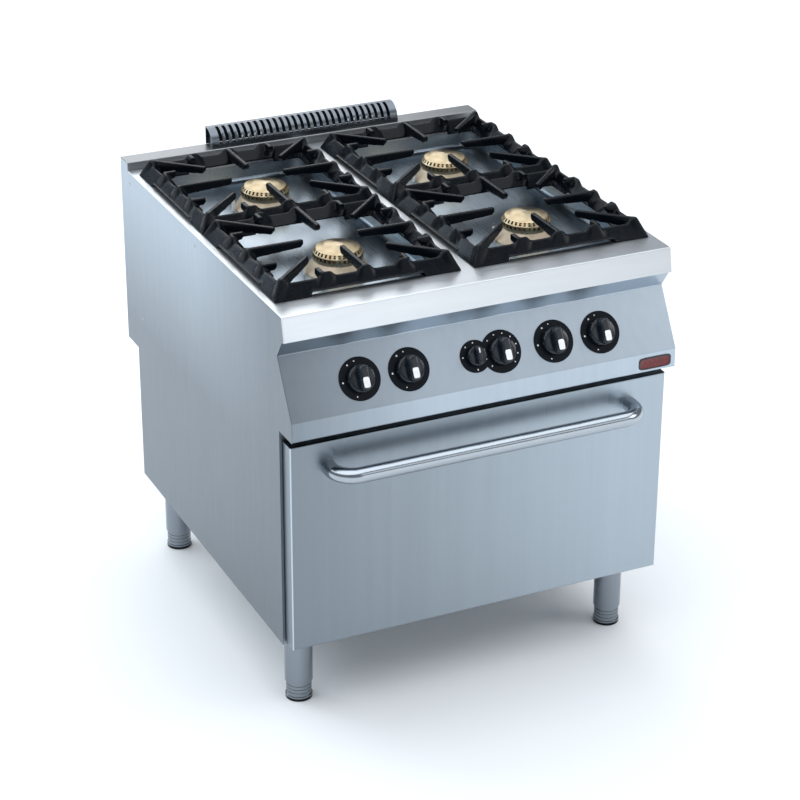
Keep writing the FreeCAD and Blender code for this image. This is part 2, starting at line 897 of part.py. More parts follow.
def burner_crowns():
    """Brass flame crowns: a ported ring that slopes in to a low cone, with a spigot in the cup."""
    spigot = size.cup_bore_radius - size.spigot_gap
    throat = spigot - size.mixing_tube_wall
    floor_z = size.seat_z + size.crown_floor
    shoulder_z = size.seat_z + size.crown_shoulder
    chamber = size.crown_radius - size.crown_wall
    cap_z = shoulder_z + size.cap_edge
    top_z = cap_z + size.cap_rise
    outline = [
        (throat, size.seat_z - size.spigot_drop),
        (spigot, size.seat_z - size.spigot_drop),
        (spigot, size.seat_z),
        (size.crown_radius, size.seat_z),
        (size.crown_radius, shoulder_z),
        (size.cap_radius, cap_z),
        (size.cap_flat_radius, top_z),
        (0, top_z),
        (0, top_z - size.crown_floor),
        (chamber, cap_z - size.crown_roof),
        (chamber, floor_z),
        (throat, floor_z),
    ]
    solid = turned(outline)
    first_row = floor_z + size.port_row_gap / 4
    ports = []
    for z in (first_row, first_row + size.port_height + size.port_row_gap):
        for index in range(PORTS):
            ports.append(port(index * 360 / PORTS, chamber - 1, z))
    pattern = cut(solid, [join(ports, "Part::Compound")])
    for name, (x, y) in BURNERS.items():
        node(f"burner_crown_{name}", put(copy_of(pattern), x, y))


def port(angle, inner, z):
    """The tool for one square gas port through the crown's ring, at an angle."""
    tool = document.addObject("Part::Box", "Port")
    bind(tool, "Length", size.crown_wall + 2)
    bind(tool, "Width", size.port_width)
    bind(tool, "Height", size.port_height)
    turn = FreeCAD.Rotation(FreeCAD.Vector(0, 0, 1), angle)
    start = turn.multVec(vector(inner, -size.port_width / 2, 0))
    tool.Placement = FreeCAD.Placement(start, turn)
    bind(tool, "Placement.Base.z", z)
    return tool


def igniters():
    """A pilot and an ignition electrode in the well beside each burner."""
    pieces = []
    for x, y in BURNERS.values():
        side_x = x - size.pilot_offset
        side_y = y - size.pilot_offset
        pilot = cylinder((side_x, side_y, size.well_floor_z), size.pilot_radius, size.pilot_height)
        pieces.append(pilot)
        start = (x - size.igniter_offset, y + size.igniter_back, size.well_floor_z)
        pieces.append(cylinder(start, size.igniter_radius, size.igniter_height))
    node("pilots_and_igniters", join(pieces, "Part::Compound"))


def bar(inner, outer_reach, angle, across):
    """A flat-topped finger along a direction from the hob's middle, at a side offset."""
    thing = document.addObject("Part::Box", "Finger")
    bind(thing, "Length", outer_reach - inner)
    bind(thing, "Width", size.finger_width)
    bind(thing, "Height", size.finger_depth)
    turn = FreeCAD.Rotation(FreeCAD.Vector(0, 0, 1), angle)
    start = turn.multVec(vector(inner, across - size.finger_width / 2, 0))
    z = size.finger_top_z - size.finger_depth
    thing.Placement = FreeCAD.Placement(start, turn)
    bind(thing, "Placement.Base.z", z)
    return thing


def grates():
    """Cast pan supports: a ridged frame with fingers towards the burner and short ribs."""
    width = size.grate_width
    length = size.grate_length
    height = size.ridge_z - size.worktop_z
    lean = size.grate_lean
    outer = frustum(
        (-width / 2, -length / 2, size.worktop_z),
        (width, length),
        (width - lean * 2, length - lean * 2),
        lean,
        height,
    )
    base = size.grate_base
    inward = base - lean - size.ridge_width
    inner_low = (-width / 2 + base, -length / 2 + base, size.worktop_z)
    inner_base = (width - base * 2, length - base * 2)
    inner_top = (inner_base[0] + inward * 2, inner_base[1] + inward * 2)
    inner = frustum(inner_low, inner_base, inner_top, -inward, height)
    frame = cut(outer, [inner])
    foot = size.grate_foot
    relief_z = size.worktop_z - 1
    relief = size.grate_relief + 1
    gaps = [
        box((-width / 2 + foot, -length, relief_z), (width - foot * 2, length * 2, relief)),
        box((-width, -length / 2 + foot, relief_z), (width * 2, length - foot * 2, relief)),
    ]
    frame = cut(frame, gaps)
    reach_x = width / 2 - lean
    reach_y = length / 2 - lean
    corner = math.degrees(math.atan2(float(reach_y), float(reach_x)))
    diagonal = math.hypot(float(reach_x), float(reach_y))
    fingers = []
    for angle, reach in ((0, reach_x), (90, reach_y), (180, reach_x), (270, reach_y)):
        fingers.append(bar(size.finger_reach, reach, angle, 0))
        for side in (-1, 1):
            fingers.append(bar(reach - size.rib_reach, reach, angle, size.rib_spacing * side))
    for angle in (corner, 180 - corner, 180 + corner, -corner):
        fingers.append(bar(size.corner_finger_reach, diagonal - float(size.finger_width) / 2, angle, 0))
    pattern = join([frame] + fingers)
    for name, (x, y) in HOBS.items():
        node(f"grate_{name}", put(copy_of(pattern), x, y))


# ---------------------------------------------------------------- oven

def oven_liner():
    """The enamelled oven box, open at the front, with ledges for its floor plate."""
    wall = size.skin
    front_y = size.cabinet_front_y + wall
    depth = size.oven_back_y - front_y
    height = size.oven_top_z - size.oven_bottom_z
    half = size.oven_half_width
    outside = (half * 2 + wall * 2, depth + wall, height + wall * 2)
    shell = box((-half - wall, front_y, size.oven_bottom_z - wall), outside)
    cavity = box((-half, front_y, size.oven_bottom_z), (half * 2, depth, height))
    flue_z = size.oven_top_z - size.duct_neck_height
    neck = size.duct_neck_half_width
    flue = box((-neck, size.oven_back_y - 1, flue_z), (neck * 2, wall + 2, size.duct_neck_height - wall))
    ledges = []
    for x in (-half, half - size.runner_width):
        ledge_low = (x, front_y, size.oven_floor_z - wall)
        ledges.append(box(ledge_low, (size.runner_width, depth, wall)))
    node("oven_liner", join([cut(shell, [cavity, flue])] + ledges))


def oven_floor():
    """The removable sole plate, slotted along both sides for the burner's heat."""
    gap = size.seam_gap
    half = size.oven_half_width - gap
    front_y = size.cabinet_front_y + size.skin + gap
    depth = size.oven_back_y - gap - front_y
    plate = box((-half, front_y, size.oven_floor_z), (half * 2, depth, size.oven_floor_gauge))
    slots = []
    slot_length = depth / 6
    for x in (-half + size.runner_width * 2, half - size.runner_width * 3):
        for index in range(4):
            y = front_y + slot_length * (index + 1) + size.runner_width * index
            low = (x, y, size.oven_floor_z - 1)
            slots.append(box(low, (size.runner_width, slot_length, size.oven_floor_gauge + 2)))
    node("oven_floor_plate", cut(plate, slots))


def oven_insulation():
    """Mineral wool around the sides, top and back of the liner."""
    wall = size.skin
    half = size.oven_half_width + wall
    thick = size.insulation
    bottom_z = size.oven_bottom_z - wall
    depth = size.oven_back_y + wall - size.insulation_front_y
    height = size.oven_top_z + wall - bottom_z
    low = (-half - thick, size.insulation_front_y, bottom_z)
    blanket = box(low, (half * 2 + thick * 2, depth + thick, height + thick))
    core_front = size.insulation_front_y - 1
    core = box((-half, core_front, bottom_z), (half * 2, depth + 1, height))
    neck = size.duct_neck_half_width + wall
    neck_z = size.oven_top_z - size.duct_neck_height - wall
    way = box((-neck, size.oven_back_y, neck_z), (neck * 2, thick * 2, size.duct_neck_height + wall))
    node("oven_insulation", cut(blanket, [core, way]))


def oven_front():
    """The flat frame round the oven mouth, and the gasket the door shuts on."""
    half = size.frame_half_width
    low_z = size.cabinet_bottom_z + size.skin * 2
    height = size.lip_bottom_z - size.seam_gap - low_z
    plate = box((-half, size.cabinet_front_y, low_z), (half * 2, size.skin, height))
    mouth_z = size.oven_floor_z + size.oven_floor_gauge
    mouth = new_body()
    mouth_low = (-size.oven_half_width, mouth_z)
    mouth_high = (size.oven_half_width, size.oven_top_z)
    pad(mouth, rectangle(mouth, "XZ_Plane", mouth_low, mouth_high, -size.cabinet_front_y - 5), 10)
    round_edges(mouth, size.mouth_corner, lambda middle, edge: near(edge.Length, 10))
    slots = []
    for side in (-1, 1):
        slot_x = size.hinge_x * side - size.hinge_slot_width / 2
        slot = (size.hinge_slot_width, size.skin * 3, size.hinge_arm_radius * 2 + 2)
        slots.append(box((slot_x, size.cabinet_front_y - 1, size.hinge_z - size.hinge_arm_radius - 1), slot))
    node("oven_front_frame", cut(plate, [mouth] + slots))
    edge = size.gasket_width
    thick = size.cabinet_front_y - size.door_back_y - size.gasket_gap
    gasket_y = size.door_back_y + size.gasket_gap
    outer_half = size.oven_half_width + edge * 2
    outer_low = (-outer_half, gasket_y, mouth_z - edge * 2)
    tall = size.oven_top_z - mouth_z
    outer = box(outer_low, (outer_half * 2, thick, tall + edge * 4))
    inner_half = size.oven_half_width + edge
    inner = box((-inner_half, gasket_y - 1, mouth_z - edge), (inner_half * 2, thick + 2, tall + edge * 2))
    node("door_gasket", cut(outer, [inner]))


def rack_guides():
    """Two pressed side ladders, each with three runners."""
    guides = []
    wall = size.skin
    plate_x = size.oven_half_width - size.seam_gap - wall
    low_z = size.oven_floor_z + size.runner_pitch / 4
    height = size.oven_top_z - size.runner_pitch / 2 - low_z
    for side in (-1, 1):
        x = -plate_x - wall if side < 0 else plate_x
        plate = box((x, size.guide_front_y, low_z), (wall, size.guide_length, height))
        parts = [plate]
        runner_x = -plate_x if side < 0 else plate_x - size.runner_width
        for index in range(3):
            z = size.first_runner_z + size.runner_pitch * index
            parts.append(box((runner_x, size.guide_front_y, z), (size.runner_width, size.guide_length, wall)))
        guides.append(join(parts))
    node("rack_guides", join(guides, "Part::Compound"))


CROSS_WIRES = 17


def oven_rack():
    """A chromed wire shelf: a bent frame, two stiffeners and cross wires on the middle runners."""
    radius = size.rack_frame_radius
    wire = size.rack_wire_radius
    z = size.first_runner_z + size.runner_pitch + size.skin + radius
    half = size.rack_half_width
    back_y = size.rack_front_y + size.rack_length
    low_x = -half + radius
    high_x = half - radius
    front_y = size.rack_front_y + radius
    rear_y = back_y - radius
    middle_y = size.rack_front_y + size.rack_length / 2
    parts = []
    for end_y in (front_y, rear_y):
        points = [
            vector(low_x, middle_y, z),
            vector(low_x, end_y, z),
            vector(high_x, end_y, z),
            vector(high_x, middle_y, z),
        ]
        parts.append(bent_rod(points, radius, size.rack_bend))
    for x in (-half / 3, half / 3):
        parts.append(cylinder((x, front_y, z), size.rack_rib_radius, size.rack_length - radius * 2, "y"))
    pitch = (size.rack_length - radius * 2) / (CROSS_WIRES + 1)
    for index in range(CROSS_WIRES):
        y = front_y + pitch * (index + 1)
        parts.append(cylinder((low_x, y, z + radius), wire, half * 2 - radius * 2, "x"))
    node("oven_rack", join(parts))


def oven_burner():
    """Two ported tubes in the chamber under the sole plate, joined at the front."""
    radius = size.mixing_tube_radius - size.mixing_tube_wall
    z = (size.oven_bottom_z + size.oven_floor_z) / 2
    x = size.oven_half_width / 2
    front_y = size.rack_front_y
    length = size.rack_length - size.insulation
    parts = [cylinder((-x - radius / 2, front_y, z), radius / 2, x * 2 + radius, "x")]
    for side in (-1, 1):
        parts.append(cylinder((x * side, front_y, z), radius, length, "y"))
    node("oven_burner", join(parts))


# ---------------------------------------------------------------- door

def door():
    """Outer tray, inner panel with its hinge lugs, insulation and the tubular handle."""
    half = size.door_half_width
    wall = size.skin
    depth = size.door_back_y - size.door_front_y
    bottom = size.door_bottom_z
    top = size.door_top_z
    tray = new_body()
    pad(tray, rectangle(tray, "XZ_Plane", (-half, bottom), (half, top), -size.door_back_y), depth)

    def is_front_edge(middle, edge):
        return near(middle.y, size.door_front_y)

    round_edges(tray, size.bend_radius, is_front_edge)
    inner_low = (-half + wall, bottom + wall)
    inner_high = (half - wall, top - wall)
    inner = rectangle(tray, "XZ_Plane", inner_low, inner_high, -size.door_back_y)
    pocket(tray, inner, depth - wall, True)
    node("door_outer_panel", cut(tray, hinge_slots()))

    gap = size.door_panel_gap
    panel_half = half - wall - gap
    panel_low = bottom + wall + gap
    panel_high = top - wall - gap
    panel = new_body()
    panel_corners = ((-panel_half, panel_low), (panel_half, panel_high))
    pad(panel, rectangle(panel, "XZ_Plane", *panel_corners, -size.door_back_y), wall)
    margin = size.plateau_margin
    plateau_half = size.oven_half_width - margin
    plateau_low = size.oven_floor_z + size.oven_floor_gauge + margin
    plateau_high = size.oven_top_z - margin
    rise = size.plateau_depth
    corners = ((-plateau_half, plateau_low), (plateau_half, plateau_high))
    raised = rectangle(panel, "XZ_Plane", *corners, -size.door_back_y - rise)
    pad(panel, raised, rise)

    def is_plateau_corner(middle, edge):
        between = float(size.door_back_y) < middle.y < float(size.door_back_y + rise)
        return between and near(edge.Length, rise)

    round_edges(panel, size.mouth_corner, is_plateau_corner)
    hollow_low = (-plateau_half + wall, plateau_low + wall)
    hollow_high = (plateau_half - wall, plateau_high - wall)
    hollow = rectangle(panel, "XZ_Plane", hollow_low, hollow_high, -size.door_back_y + wall * 2)
    pocket(panel, hollow, rise + wall, False)
    lugs = []
    lug_y = size.door_front_y + wall
    lug_depth = size.door_back_y - wall - lug_y
    for side in (-1, 1):
        for edge in (-1, 1):
            middle = size.hinge_x * side + (size.hinge_slot_width + size.hinge_lug_width) / 2 * edge
            low = (middle - size.hinge_lug_width / 2, lug_y, bottom + wall)
            lug = box(low, (size.hinge_lug_width, lug_depth, size.tube_side))
            bore_start = (middle - size.hinge_lug_width, size.hinge_y, size.hinge_z)
            bore_radius = size.hinge_pin_radius + size.hinge_clearance
            lugs.append(cut(lug, [cylinder(bore_start, bore_radius, size.hinge_lug_width * 2, "x")]))
    node("door_inner_panel", join([cut(panel, hinge_slots())] + lugs))

    fill_y = size.door_front_y + wall + gap
    fill_low_z = bottom + wall + size.tube_side + gap * 4
    fill_half = panel_half - gap
    fill_depth = size.door_back_y - wall - gap - fill_y
    fill_height = panel_high - gap - fill_low_z
    low = (-fill_half, fill_y, fill_low_z)
    node("door_insulation", box(low, (fill_half * 2, fill_depth, fill_height)))
    door_handle()


def hinge_slots():
    """The notches through which the fixed hinge arms enter the door's lower back edge."""
    slots = []
    low_y = size.hinge_y - size.hinge_arm_radius - 1
    low_z = size.door_bottom_z - 1
    depth = size.door_back_y + 1 - low_y
    height = size.hinge_z + size.hinge_arm_radius + 1 - low_z
    for side in (-1, 1):
        x = size.hinge_x * side - size.hinge_slot_width / 2
        slots.append(box((x, low_y, low_z), (size.hinge_slot_width, depth, height)))
    return slots


def door_handle():
    """A round tube bent to a wide U, with both ends on the door face."""
    z = size.handle_z
    front = size.handle_y
    face = size.door_front_y
    points = [
        vector(-size.handle_x, face, z),
        vector(-size.handle_x, front, z),
        vector(size.handle_x, front, z),
        vector(size.handle_x, face, z),
    ]
    tube = bent_rod(points, size.handle_radius, size.handle_bend, size.handle_radius - size.handle_wall)
    node("door_handle", tube)


def hinge_brackets():
    """Two fixed arms, each with its pin, screwed between the front frame and the chassis."""
    brackets = []
    radius = size.hinge_arm_radius
    width = size.hinge_arm_width
    plate_y = size.cabinet_front_y + size.skin
    plate_depth = size.frame_front_y - plate_y
    pin_length = size.hinge_slot_width + size.hinge_lug_width * 2
    for side in (-1, 1):
        x = size.hinge_x * side
        arm_low = (x - width / 2, size.hinge_y, size.hinge_z - radius)
        arm = box(arm_low, (width, plate_y - size.hinge_y, radius * 2))
        end = cylinder((x - width / 2, size.hinge_y, size.hinge_z), radius, width, "x")
        pin_start = (x - pin_length / 2, size.hinge_y, size.hinge_z)
        pin = cylinder(pin_start, size.hinge_pin_radius, pin_length, "x")
        plate_low = (x - width * 2, plate_y, size.cabinet_bottom_z + size.skin * 2)
        plate = box(plate_low, (width * 4, plate_depth, radius * 3))
        brackets.append(join([arm, end, pin, plate]))
    node("hinge_brackets", join(brackets, "Part::Compound"))


# ---------------------------------------------------------------- controls and gas

def bezels():
    """Thin dial plates on the console face: four single, and one for the oven's two controls."""
    gauge = size.bezel_gauge
    hole = size.shaft_hole_radius
    plates = []
    for x in BURNER_KNOB_X.values():
        disc = cut(cylinder((0, 0, 0), size.bezel_radius, gauge), [cylinder((0, 0, -1), hole, gauge + 2)])
        plates.append(on_console(copy_of(disc), x))
    node("burner_bezels", join(plates, "Part::Compound"))
    offset = SELECTOR_X - THERMOSTAT_X
    large = cylinder((0, 0, 0), size.bezel_radius, gauge)
    small = cylinder((offset, 0, 0), size.small_bezel_radius, gauge)
    waist = size.bezel_waist
    bridge = box((offset, -waist / 2, 0), (-offset, waist, gauge))
    holes = [cylinder((0, 0, -1), hole, gauge + 2), cylinder((offset, 0, -1), hole, gauge + 2)]
    node("oven_bezel", on_console(cut(join([large, small, bridge]), holes), THERMOSTAT_X))


def spindle(name, x):
    """The shaft that a knob is pushed on to."""
    length = size.spindle_depth + size.spindle_reach
    shaft = cylinder((0, 0, -size.spindle_depth), size.spindle_radius, length)
    node(f"spindle_{name}", on_console(copy_of(shaft), x))


def knob_bore(depth):
    start = (0, 0, size.knob_gap - 1)
    return cylinder(start, size.spindle_radius + size.spindle_clearance, depth + 1)


def large_knob():
    """A round skirt with a wide grip bar across it."""
    low = size.knob_gap
    shoulder = low + size.knob_skirt
    top = shoulder + size.knob_shoulder
    crown = size.knob_radius - size.knob_shoulder
    outline = [(0, low), (size.knob_radius, low), (size.knob_radius, shoulder), (crown, top), (0, top)]
    skirt = turned(outline)
    grip = new_body()
    across = size.grip_width / 2
    along = size.grip_length / 2
    low_z = top - size.knob_shoulder
    sketch = rectangle(grip, "XY_Plane", (-across, -along), (across, along), low_z)
    pad(grip, sketch, size.grip_height, False, -size.knob_shoulder * 2)

    def is_grip_side(middle, edge):
        return is_climbing(edge)

    def is_grip_top(middle, edge):
        return near(middle.z, low_z + size.grip_height)

    round_edges(grip, size.knob_shoulder * 2, is_grip_side)
    round_edges(grip, size.knob_shoulder, is_grip_top)
    return cut(join([skirt, grip]), [knob_bore(size.spindle_reach - size.knob_gap + size.knob_travel + 1)])


def small_knob():
    low = size.knob_gap
    top = low + size.small_knob_height
    radius = size.small_knob_radius
    taper = size.knob_shoulder
    waist = radius - taper / 2
    outline = [(0, low), (radius, low), (waist, top - taper), (waist - taper, top), (0, top)]
    return cut(turned(outline), [knob_bore(size.spindle_reach - size.knob_gap + size.knob_travel + 1)])


def tap_block():
    """A gas tap: gland, body and the outlet stub on top, bored for its spindle."""
    front = -size.tap_front
    gland = cylinder((0, 0, front - size.gland_length), size.gland_radius, size.gland_length)
    rear = front - size.gland_length - size.tap_length
    body = cylinder((0, 0, rear), size.tap_radius, size.tap_length)
    stub_z = rear + size.gland_length + 2
    stub = cylinder((0, 0, stub_z), size.gland_radius - 2, size.tap_radius + size.gland_length, "y")
    bore_start = (0, 0, -size.spindle_depth - 1)
    bore = cylinder(bore_start, size.spindle_radius + size.spindle_clearance, size.spindle_depth)
    return cut(join([gland, body, stub]), [bore])


def controls():
    knob = large_knob()
    tap = tap_block()
    taps = []
    for name, x in BURNER_KNOB_X.items():
        node(f"knob_{name}", on_console(copy_of(knob), x))
        spindle(name, x)
        taps.append(on_console(copy_of(tap), x))
    node("burner_taps", join(taps, "Part::Compound"))
    node("knob_thermostat", on_console(copy_of(knob), THERMOSTAT_X))
    spindle("thermostat", THERMOSTAT_X)
    node("knob_selector", on_console(copy_of(small_knob()), SELECTOR_X))
    spindle("selector", SELECTOR_X)
    offset = SELECTOR_X - THERMOSTAT_X
    radius = size.tap_radius
    rear = -size.tap_front - size.gland_length - size.tap_length
    block_low = (offset - radius, -radius, rear)
    block = box(block_low, (radius * 2 - offset, radius * 2, size.tap_length))
    glands = []
    bores = []
    for x in (0, offset):
        gland_start = (x, 0, -size.tap_front - size.gland_length)
        glands.append(cylinder(gland_start, size.gland_radius, size.gland_length))
        bore_radius = size.spindle_radius + size.spindle_clearance
        bores.append(cylinder((x, 0, -size.spindle_depth - 1), bore_radius, size.spindle_depth))
    node("oven_control_valve", on_console(cut(join([block] + glands), bores), THERMOSTAT_X))


def gas_manifold():
    """The header pipe behind the taps, its bosses, and the run down to the rear inlet."""
    depth = -size.manifold_depth
    run_end = size.supply_x
    centre = console_point(0, 0, depth)
    left_x = BURNER_KNOB_X["front_left"] - float(size.tap_radius) * 2
    points = [
        vector(left_x, centre.y, centre.z),
        vector(run_end, centre.y, centre.z),
        vector(run_end, size.supply_back_y, centre.z),
        vector(run_end, size.supply_back_y, size.supply_z),
    ]
    pipe = bent_rod(points, size.manifold_radius, size.pipe_bend)
    reach = size.service_back_y - size.supply_back_y
    tail = cylinder((run_end, size.supply_back_y, size.supply_z), size.manifold_radius, reach, "y")
    inlet_start = (run_end, size.service_back_y, size.supply_z)
    nipple = cylinder(inlet_start, size.inlet_radius, size.inlet_length, "y")
    ball = document.addObject("Part::Sphere", "Elbow")
    bind(ball, "Radius", size.manifold_radius)
    put(ball, run_end, size.supply_back_y, size.supply_z)
    bosses = []
    rear = size.tap_front + size.gland_length + size.tap_length
    length = size.manifold_depth - rear
    for x in list(BURNER_KNOB_X.values()) + [THERMOSTAT_X]:
        boss = cylinder((0, 0, -size.manifold_depth), size.boss_radius, length)
        bosses.append(on_console(copy_of(boss), x))
    node("gas_manifold", join([pipe, tail, nipple, ball] + bosses))


def gas_tubes():
    """A tube from each tap to the mixing tube of its burner."""
    tubes = []
    rear = float(size.tap_front + size.gland_length + size.tap_length)
    outward = -(rear - float(size.gland_length) - 2)
    upward = float(size.tap_radius + size.gland_length)
    run = float(size.gas_tube_run)
    for name, tap_x in BURNER_KNOB_X.items():
        burner_x, burner_y = BURNERS[name]
        mouth_y = burner_y - size.mixing_tube_reach
        start = console_point(tap_x, upward, outward)
        rise = console_point(tap_x, upward + run, outward)
        end = vector(burner_x, mouth_y - 2, size.mixing_tube_z)
        before = end - vector(0, run, 0)
        points = [start, rise, before, end]
        if name.startswith("rear"):
            lane_x = math.copysign(float(size.gas_lane_x), float(burner_x))
            lane_z = float(size.gas_lane_z)
            lane_start = vector(lane_x, rise.y + run * 1.5, lane_z)
            lane_end = vector(lane_x, before.y - run * 1.5, lane_z)
            points = [start, rise, lane_start, lane_end, before, end]
        tubes.append(bent_rod(points, size.gas_tube_radius, size.gas_tube_bend))
    node("gas_tubes", join(tubes, "Part::Compound"))


# ---------------------------------------------------------------- flue, badge and screws

SLOTS = 28


def flue_cover():
    """The louvred vent on the rear ledge: a quarter-round hood with recessed ends."""
    half = size.flue_half_width
    depth = size.back_y - size.flue_front_y
    height = size.flue_top_z - size.ledge_z
    wall = size.skin

    def hood(low_x, length, inset, round_radius):
        body = new_body()
        low = (size.flue_front_y + inset, size.ledge_z)
        high = (size.back_y - inset, size.flue_top_z - inset)
        pad(body, rectangle(body, "YZ_Plane", low, high, low_x), length)

        def is_front_top(middle, edge):
            return near(middle.y, low[0]) and near(middle.z, high[1])

        round_edges(body, round_radius, is_front_top)
        return body

    outside = hood(-half, half * 2, 0, size.flue_round)
    inner_round = size.flue_round - wall
    middle_half = half - size.flue_recess - size.flue_plate
    hollows = [hood(-middle_half, middle_half * 2, wall, inner_round)]
    hollows.append(hood(-half, size.flue_recess, wall, inner_round))
    hollows.append(hood(half - size.flue_recess, size.flue_recess, wall, inner_round))
    slots = []
    for index in range(SLOTS):
        middle = size.slot_pitch * (index - (SLOTS - 1) / 2)
        low = (middle - size.slot_width / 2, size.flue_front_y - 1, size.slot_foot_z)
        reach = size.slot_back_y - size.flue_front_y + 1
        slots.append(box(low, (size.slot_width, reach, height)))
    node("flue_cover", cut(cut(outside, hollows), slots))


def flue_duct():
    """The upright sheet duct to the vent, and the neck that joins it to the oven's back."""
    wall = size.skin
    half = size.duct_half_width
    front_y = size.duct_front_y
    depth = size.duct_depth
    neck = size.duct_neck_half_width
    neck_low_z = size.oven_top_z - size.duct_neck_height
    neck_height = size.duct_neck_height - wall
    height = size.ledge_z - neck_low_z
    outside = box((-half, front_y, neck_low_z - wall), (half * 2, depth, height + wall))
    inner_size = (half * 2 - wall * 2, depth - wall * 2, height + 1)
    inside = box((-half + wall, front_y + wall, neck_low_z), inner_size)
    mouth = box((-neck, front_y - 1, neck_low_z), (neck * 2, wall + 2, neck_height))
    node("flue_duct", cut(outside, [inside, mouth]))

    neck_y = size.oven_back_y + wall
    neck_length = front_y - neck_y
    tube_size = (neck * 2 + wall * 2, neck_length, neck_height + wall * 2)
    tube = box((-neck - wall, neck_y, neck_low_z - wall), tube_size)
    bore = box((-neck, neck_y - 1, neck_low_z), (neck * 2, neck_length + 2, neck_height))
    node("flue_neck", cut(tube, [bore]))


def badge():
    """A plain plate on the lip."""
    middle_z = (LIP_TOP_Z + size.lip_bottom_z) / 2
    low_z = middle_z - size.badge_height / 2 - 1
    body = new_body()
    low = (size.badge_x, low_z)
    high = (size.badge_x + size.badge_width, low_z + size.badge_height)
    pad(body, rectangle(body, "XZ_Plane", low, high, -size.lip_y), size.badge_gauge)
    round_edges(body, size.badge_corner, lambda middle, edge: near(edge.Length, size.badge_gauge))
    node("badge_plate", body)


def screw_places():
    """Where the side panels are screwed on, as (y, z)."""
    return [
        (size.ledge_y - size.screw_inset, size.screw_z),
        (size.front_burner_y + size.burner_pitch / 2 + size.screw_inset, size.screw_z),
        (size.service_back_y - size.screw_inset * 3, size.handle_z),
    ]


def side_screws():
    """Countersunk heads, flush with both side panels."""
    heads = []
    for y, z in screw_places():
        for x in (-HALF, HALF - size.skin):
            heads.append(cylinder((x, y, z), size.screw_radius, size.skin, "x"))
    node("side_screws", join(heads, "Part::Compound"))


# ---------------------------------------------------------------- the whole range

def build():
    side_panel("left", -1)
    side_panel("right", 1)
    worktop()
    spill_well("left", -1)
    spill_well("right", 1)
    console()
    back_panel()
    base_panel()
    chassis_frame()
    foot_sleeves()
    levelling_feet()
    burner_bases()
    burner_crowns()
    igniters()
    grates()
    oven_liner()
    oven_floor()
    oven_insulation()
    oven_front()
    rack_guides()
    oven_rack()
    oven_burner()
    door()
    hinge_brackets()
    bezels()
    controls()
    gas_manifold()
    gas_tubes()
    flue_cover()
    flue_duct()
    badge()
    side_screws()


def check():
    """Stop if any object failed or any piece has no sound shape."""
    for thing in document.Objects:
        if "Invalid" in thing.State or "Error" in thing.State:
            raise RuntimeError(f"{thing.Name} ({thing.Label}) failed: {thing.State}")
    for piece in nodes:
        if piece.Shape.isNull() or not piece.Shape.isValid() or not piece.Shape.Solids:
            raise RuntimeError(f"{piece.Label} has no valid solid")


def export():
    os.makedirs("parts", exist_ok=True)
    for piece in nodes:
        piece.Shape.exportStep(os.path.join("parts", piece.Label + ".step"))


build()
document.recompute()
check()
export()
print(len(nodes), "pieces written")
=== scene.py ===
import json
import math

import bmesh
import bpy
from mathutils import Matrix, Vector


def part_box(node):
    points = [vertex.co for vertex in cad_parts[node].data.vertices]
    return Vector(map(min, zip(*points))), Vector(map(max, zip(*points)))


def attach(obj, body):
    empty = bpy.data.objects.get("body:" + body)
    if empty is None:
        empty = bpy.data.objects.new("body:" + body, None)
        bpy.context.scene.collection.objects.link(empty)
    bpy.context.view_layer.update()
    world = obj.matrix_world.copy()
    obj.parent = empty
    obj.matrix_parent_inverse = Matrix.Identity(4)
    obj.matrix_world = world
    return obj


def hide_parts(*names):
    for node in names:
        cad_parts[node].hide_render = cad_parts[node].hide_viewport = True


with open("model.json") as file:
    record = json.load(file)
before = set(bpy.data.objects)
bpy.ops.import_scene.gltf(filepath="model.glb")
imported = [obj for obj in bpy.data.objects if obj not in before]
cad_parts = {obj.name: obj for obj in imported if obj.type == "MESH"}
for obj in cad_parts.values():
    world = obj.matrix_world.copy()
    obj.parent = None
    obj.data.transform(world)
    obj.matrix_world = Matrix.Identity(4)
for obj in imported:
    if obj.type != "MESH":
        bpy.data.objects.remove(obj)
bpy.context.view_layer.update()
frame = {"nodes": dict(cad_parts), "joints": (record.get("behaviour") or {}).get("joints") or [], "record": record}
NODES = frame["nodes"]
JOINTS = {joint["name"]: joint for joint in frame["joints"]}

# ---------------------------------------------------------------- sizes, in metres

# camera
CAMERA_AZIMUTH = -25.24
CAMERA_ELEVATION = 25.72
CAMERA_ROLL = 0.3
CAMERA_DISTANCE = 5.035
CAMERA_TARGET = (0.0454, 0.0605, 0.4015)
CAMERA_LENS = 109.26

BURNERS = ("front_left", "front_right", "rear_left", "rear_right")

# pan supports: a frame that leans inwards to a thin ridge, and bars towards the burner
GRATE_LEAN = 0.017
GRATE_BASE = 0.040
RIDGE_WIDTH = 0.004
RIDGE_DROP = 0.010
FOOT_LENGTH = 0.072
FOOT_RELIEF = 0.009
PAD_HALF = 0.006
PAD_SLOPE = 0.016
FINGER_TOP = 0.0085
FINGER_FOOT = 0.012
FINGER_TIP_SLANT = 0.005
FINGER_TIP_DEPTH = 0.014
FINGER_END_DEPTH = FINGER_TIP_DEPTH * 0.55
FINGER_ROOT_DEPTH = 0.021
MIDDLE_REACH = 0.056
CORNER_REACH = 0.112
RIB_REACH = 0.026
CAST_VOXEL = 0.0016

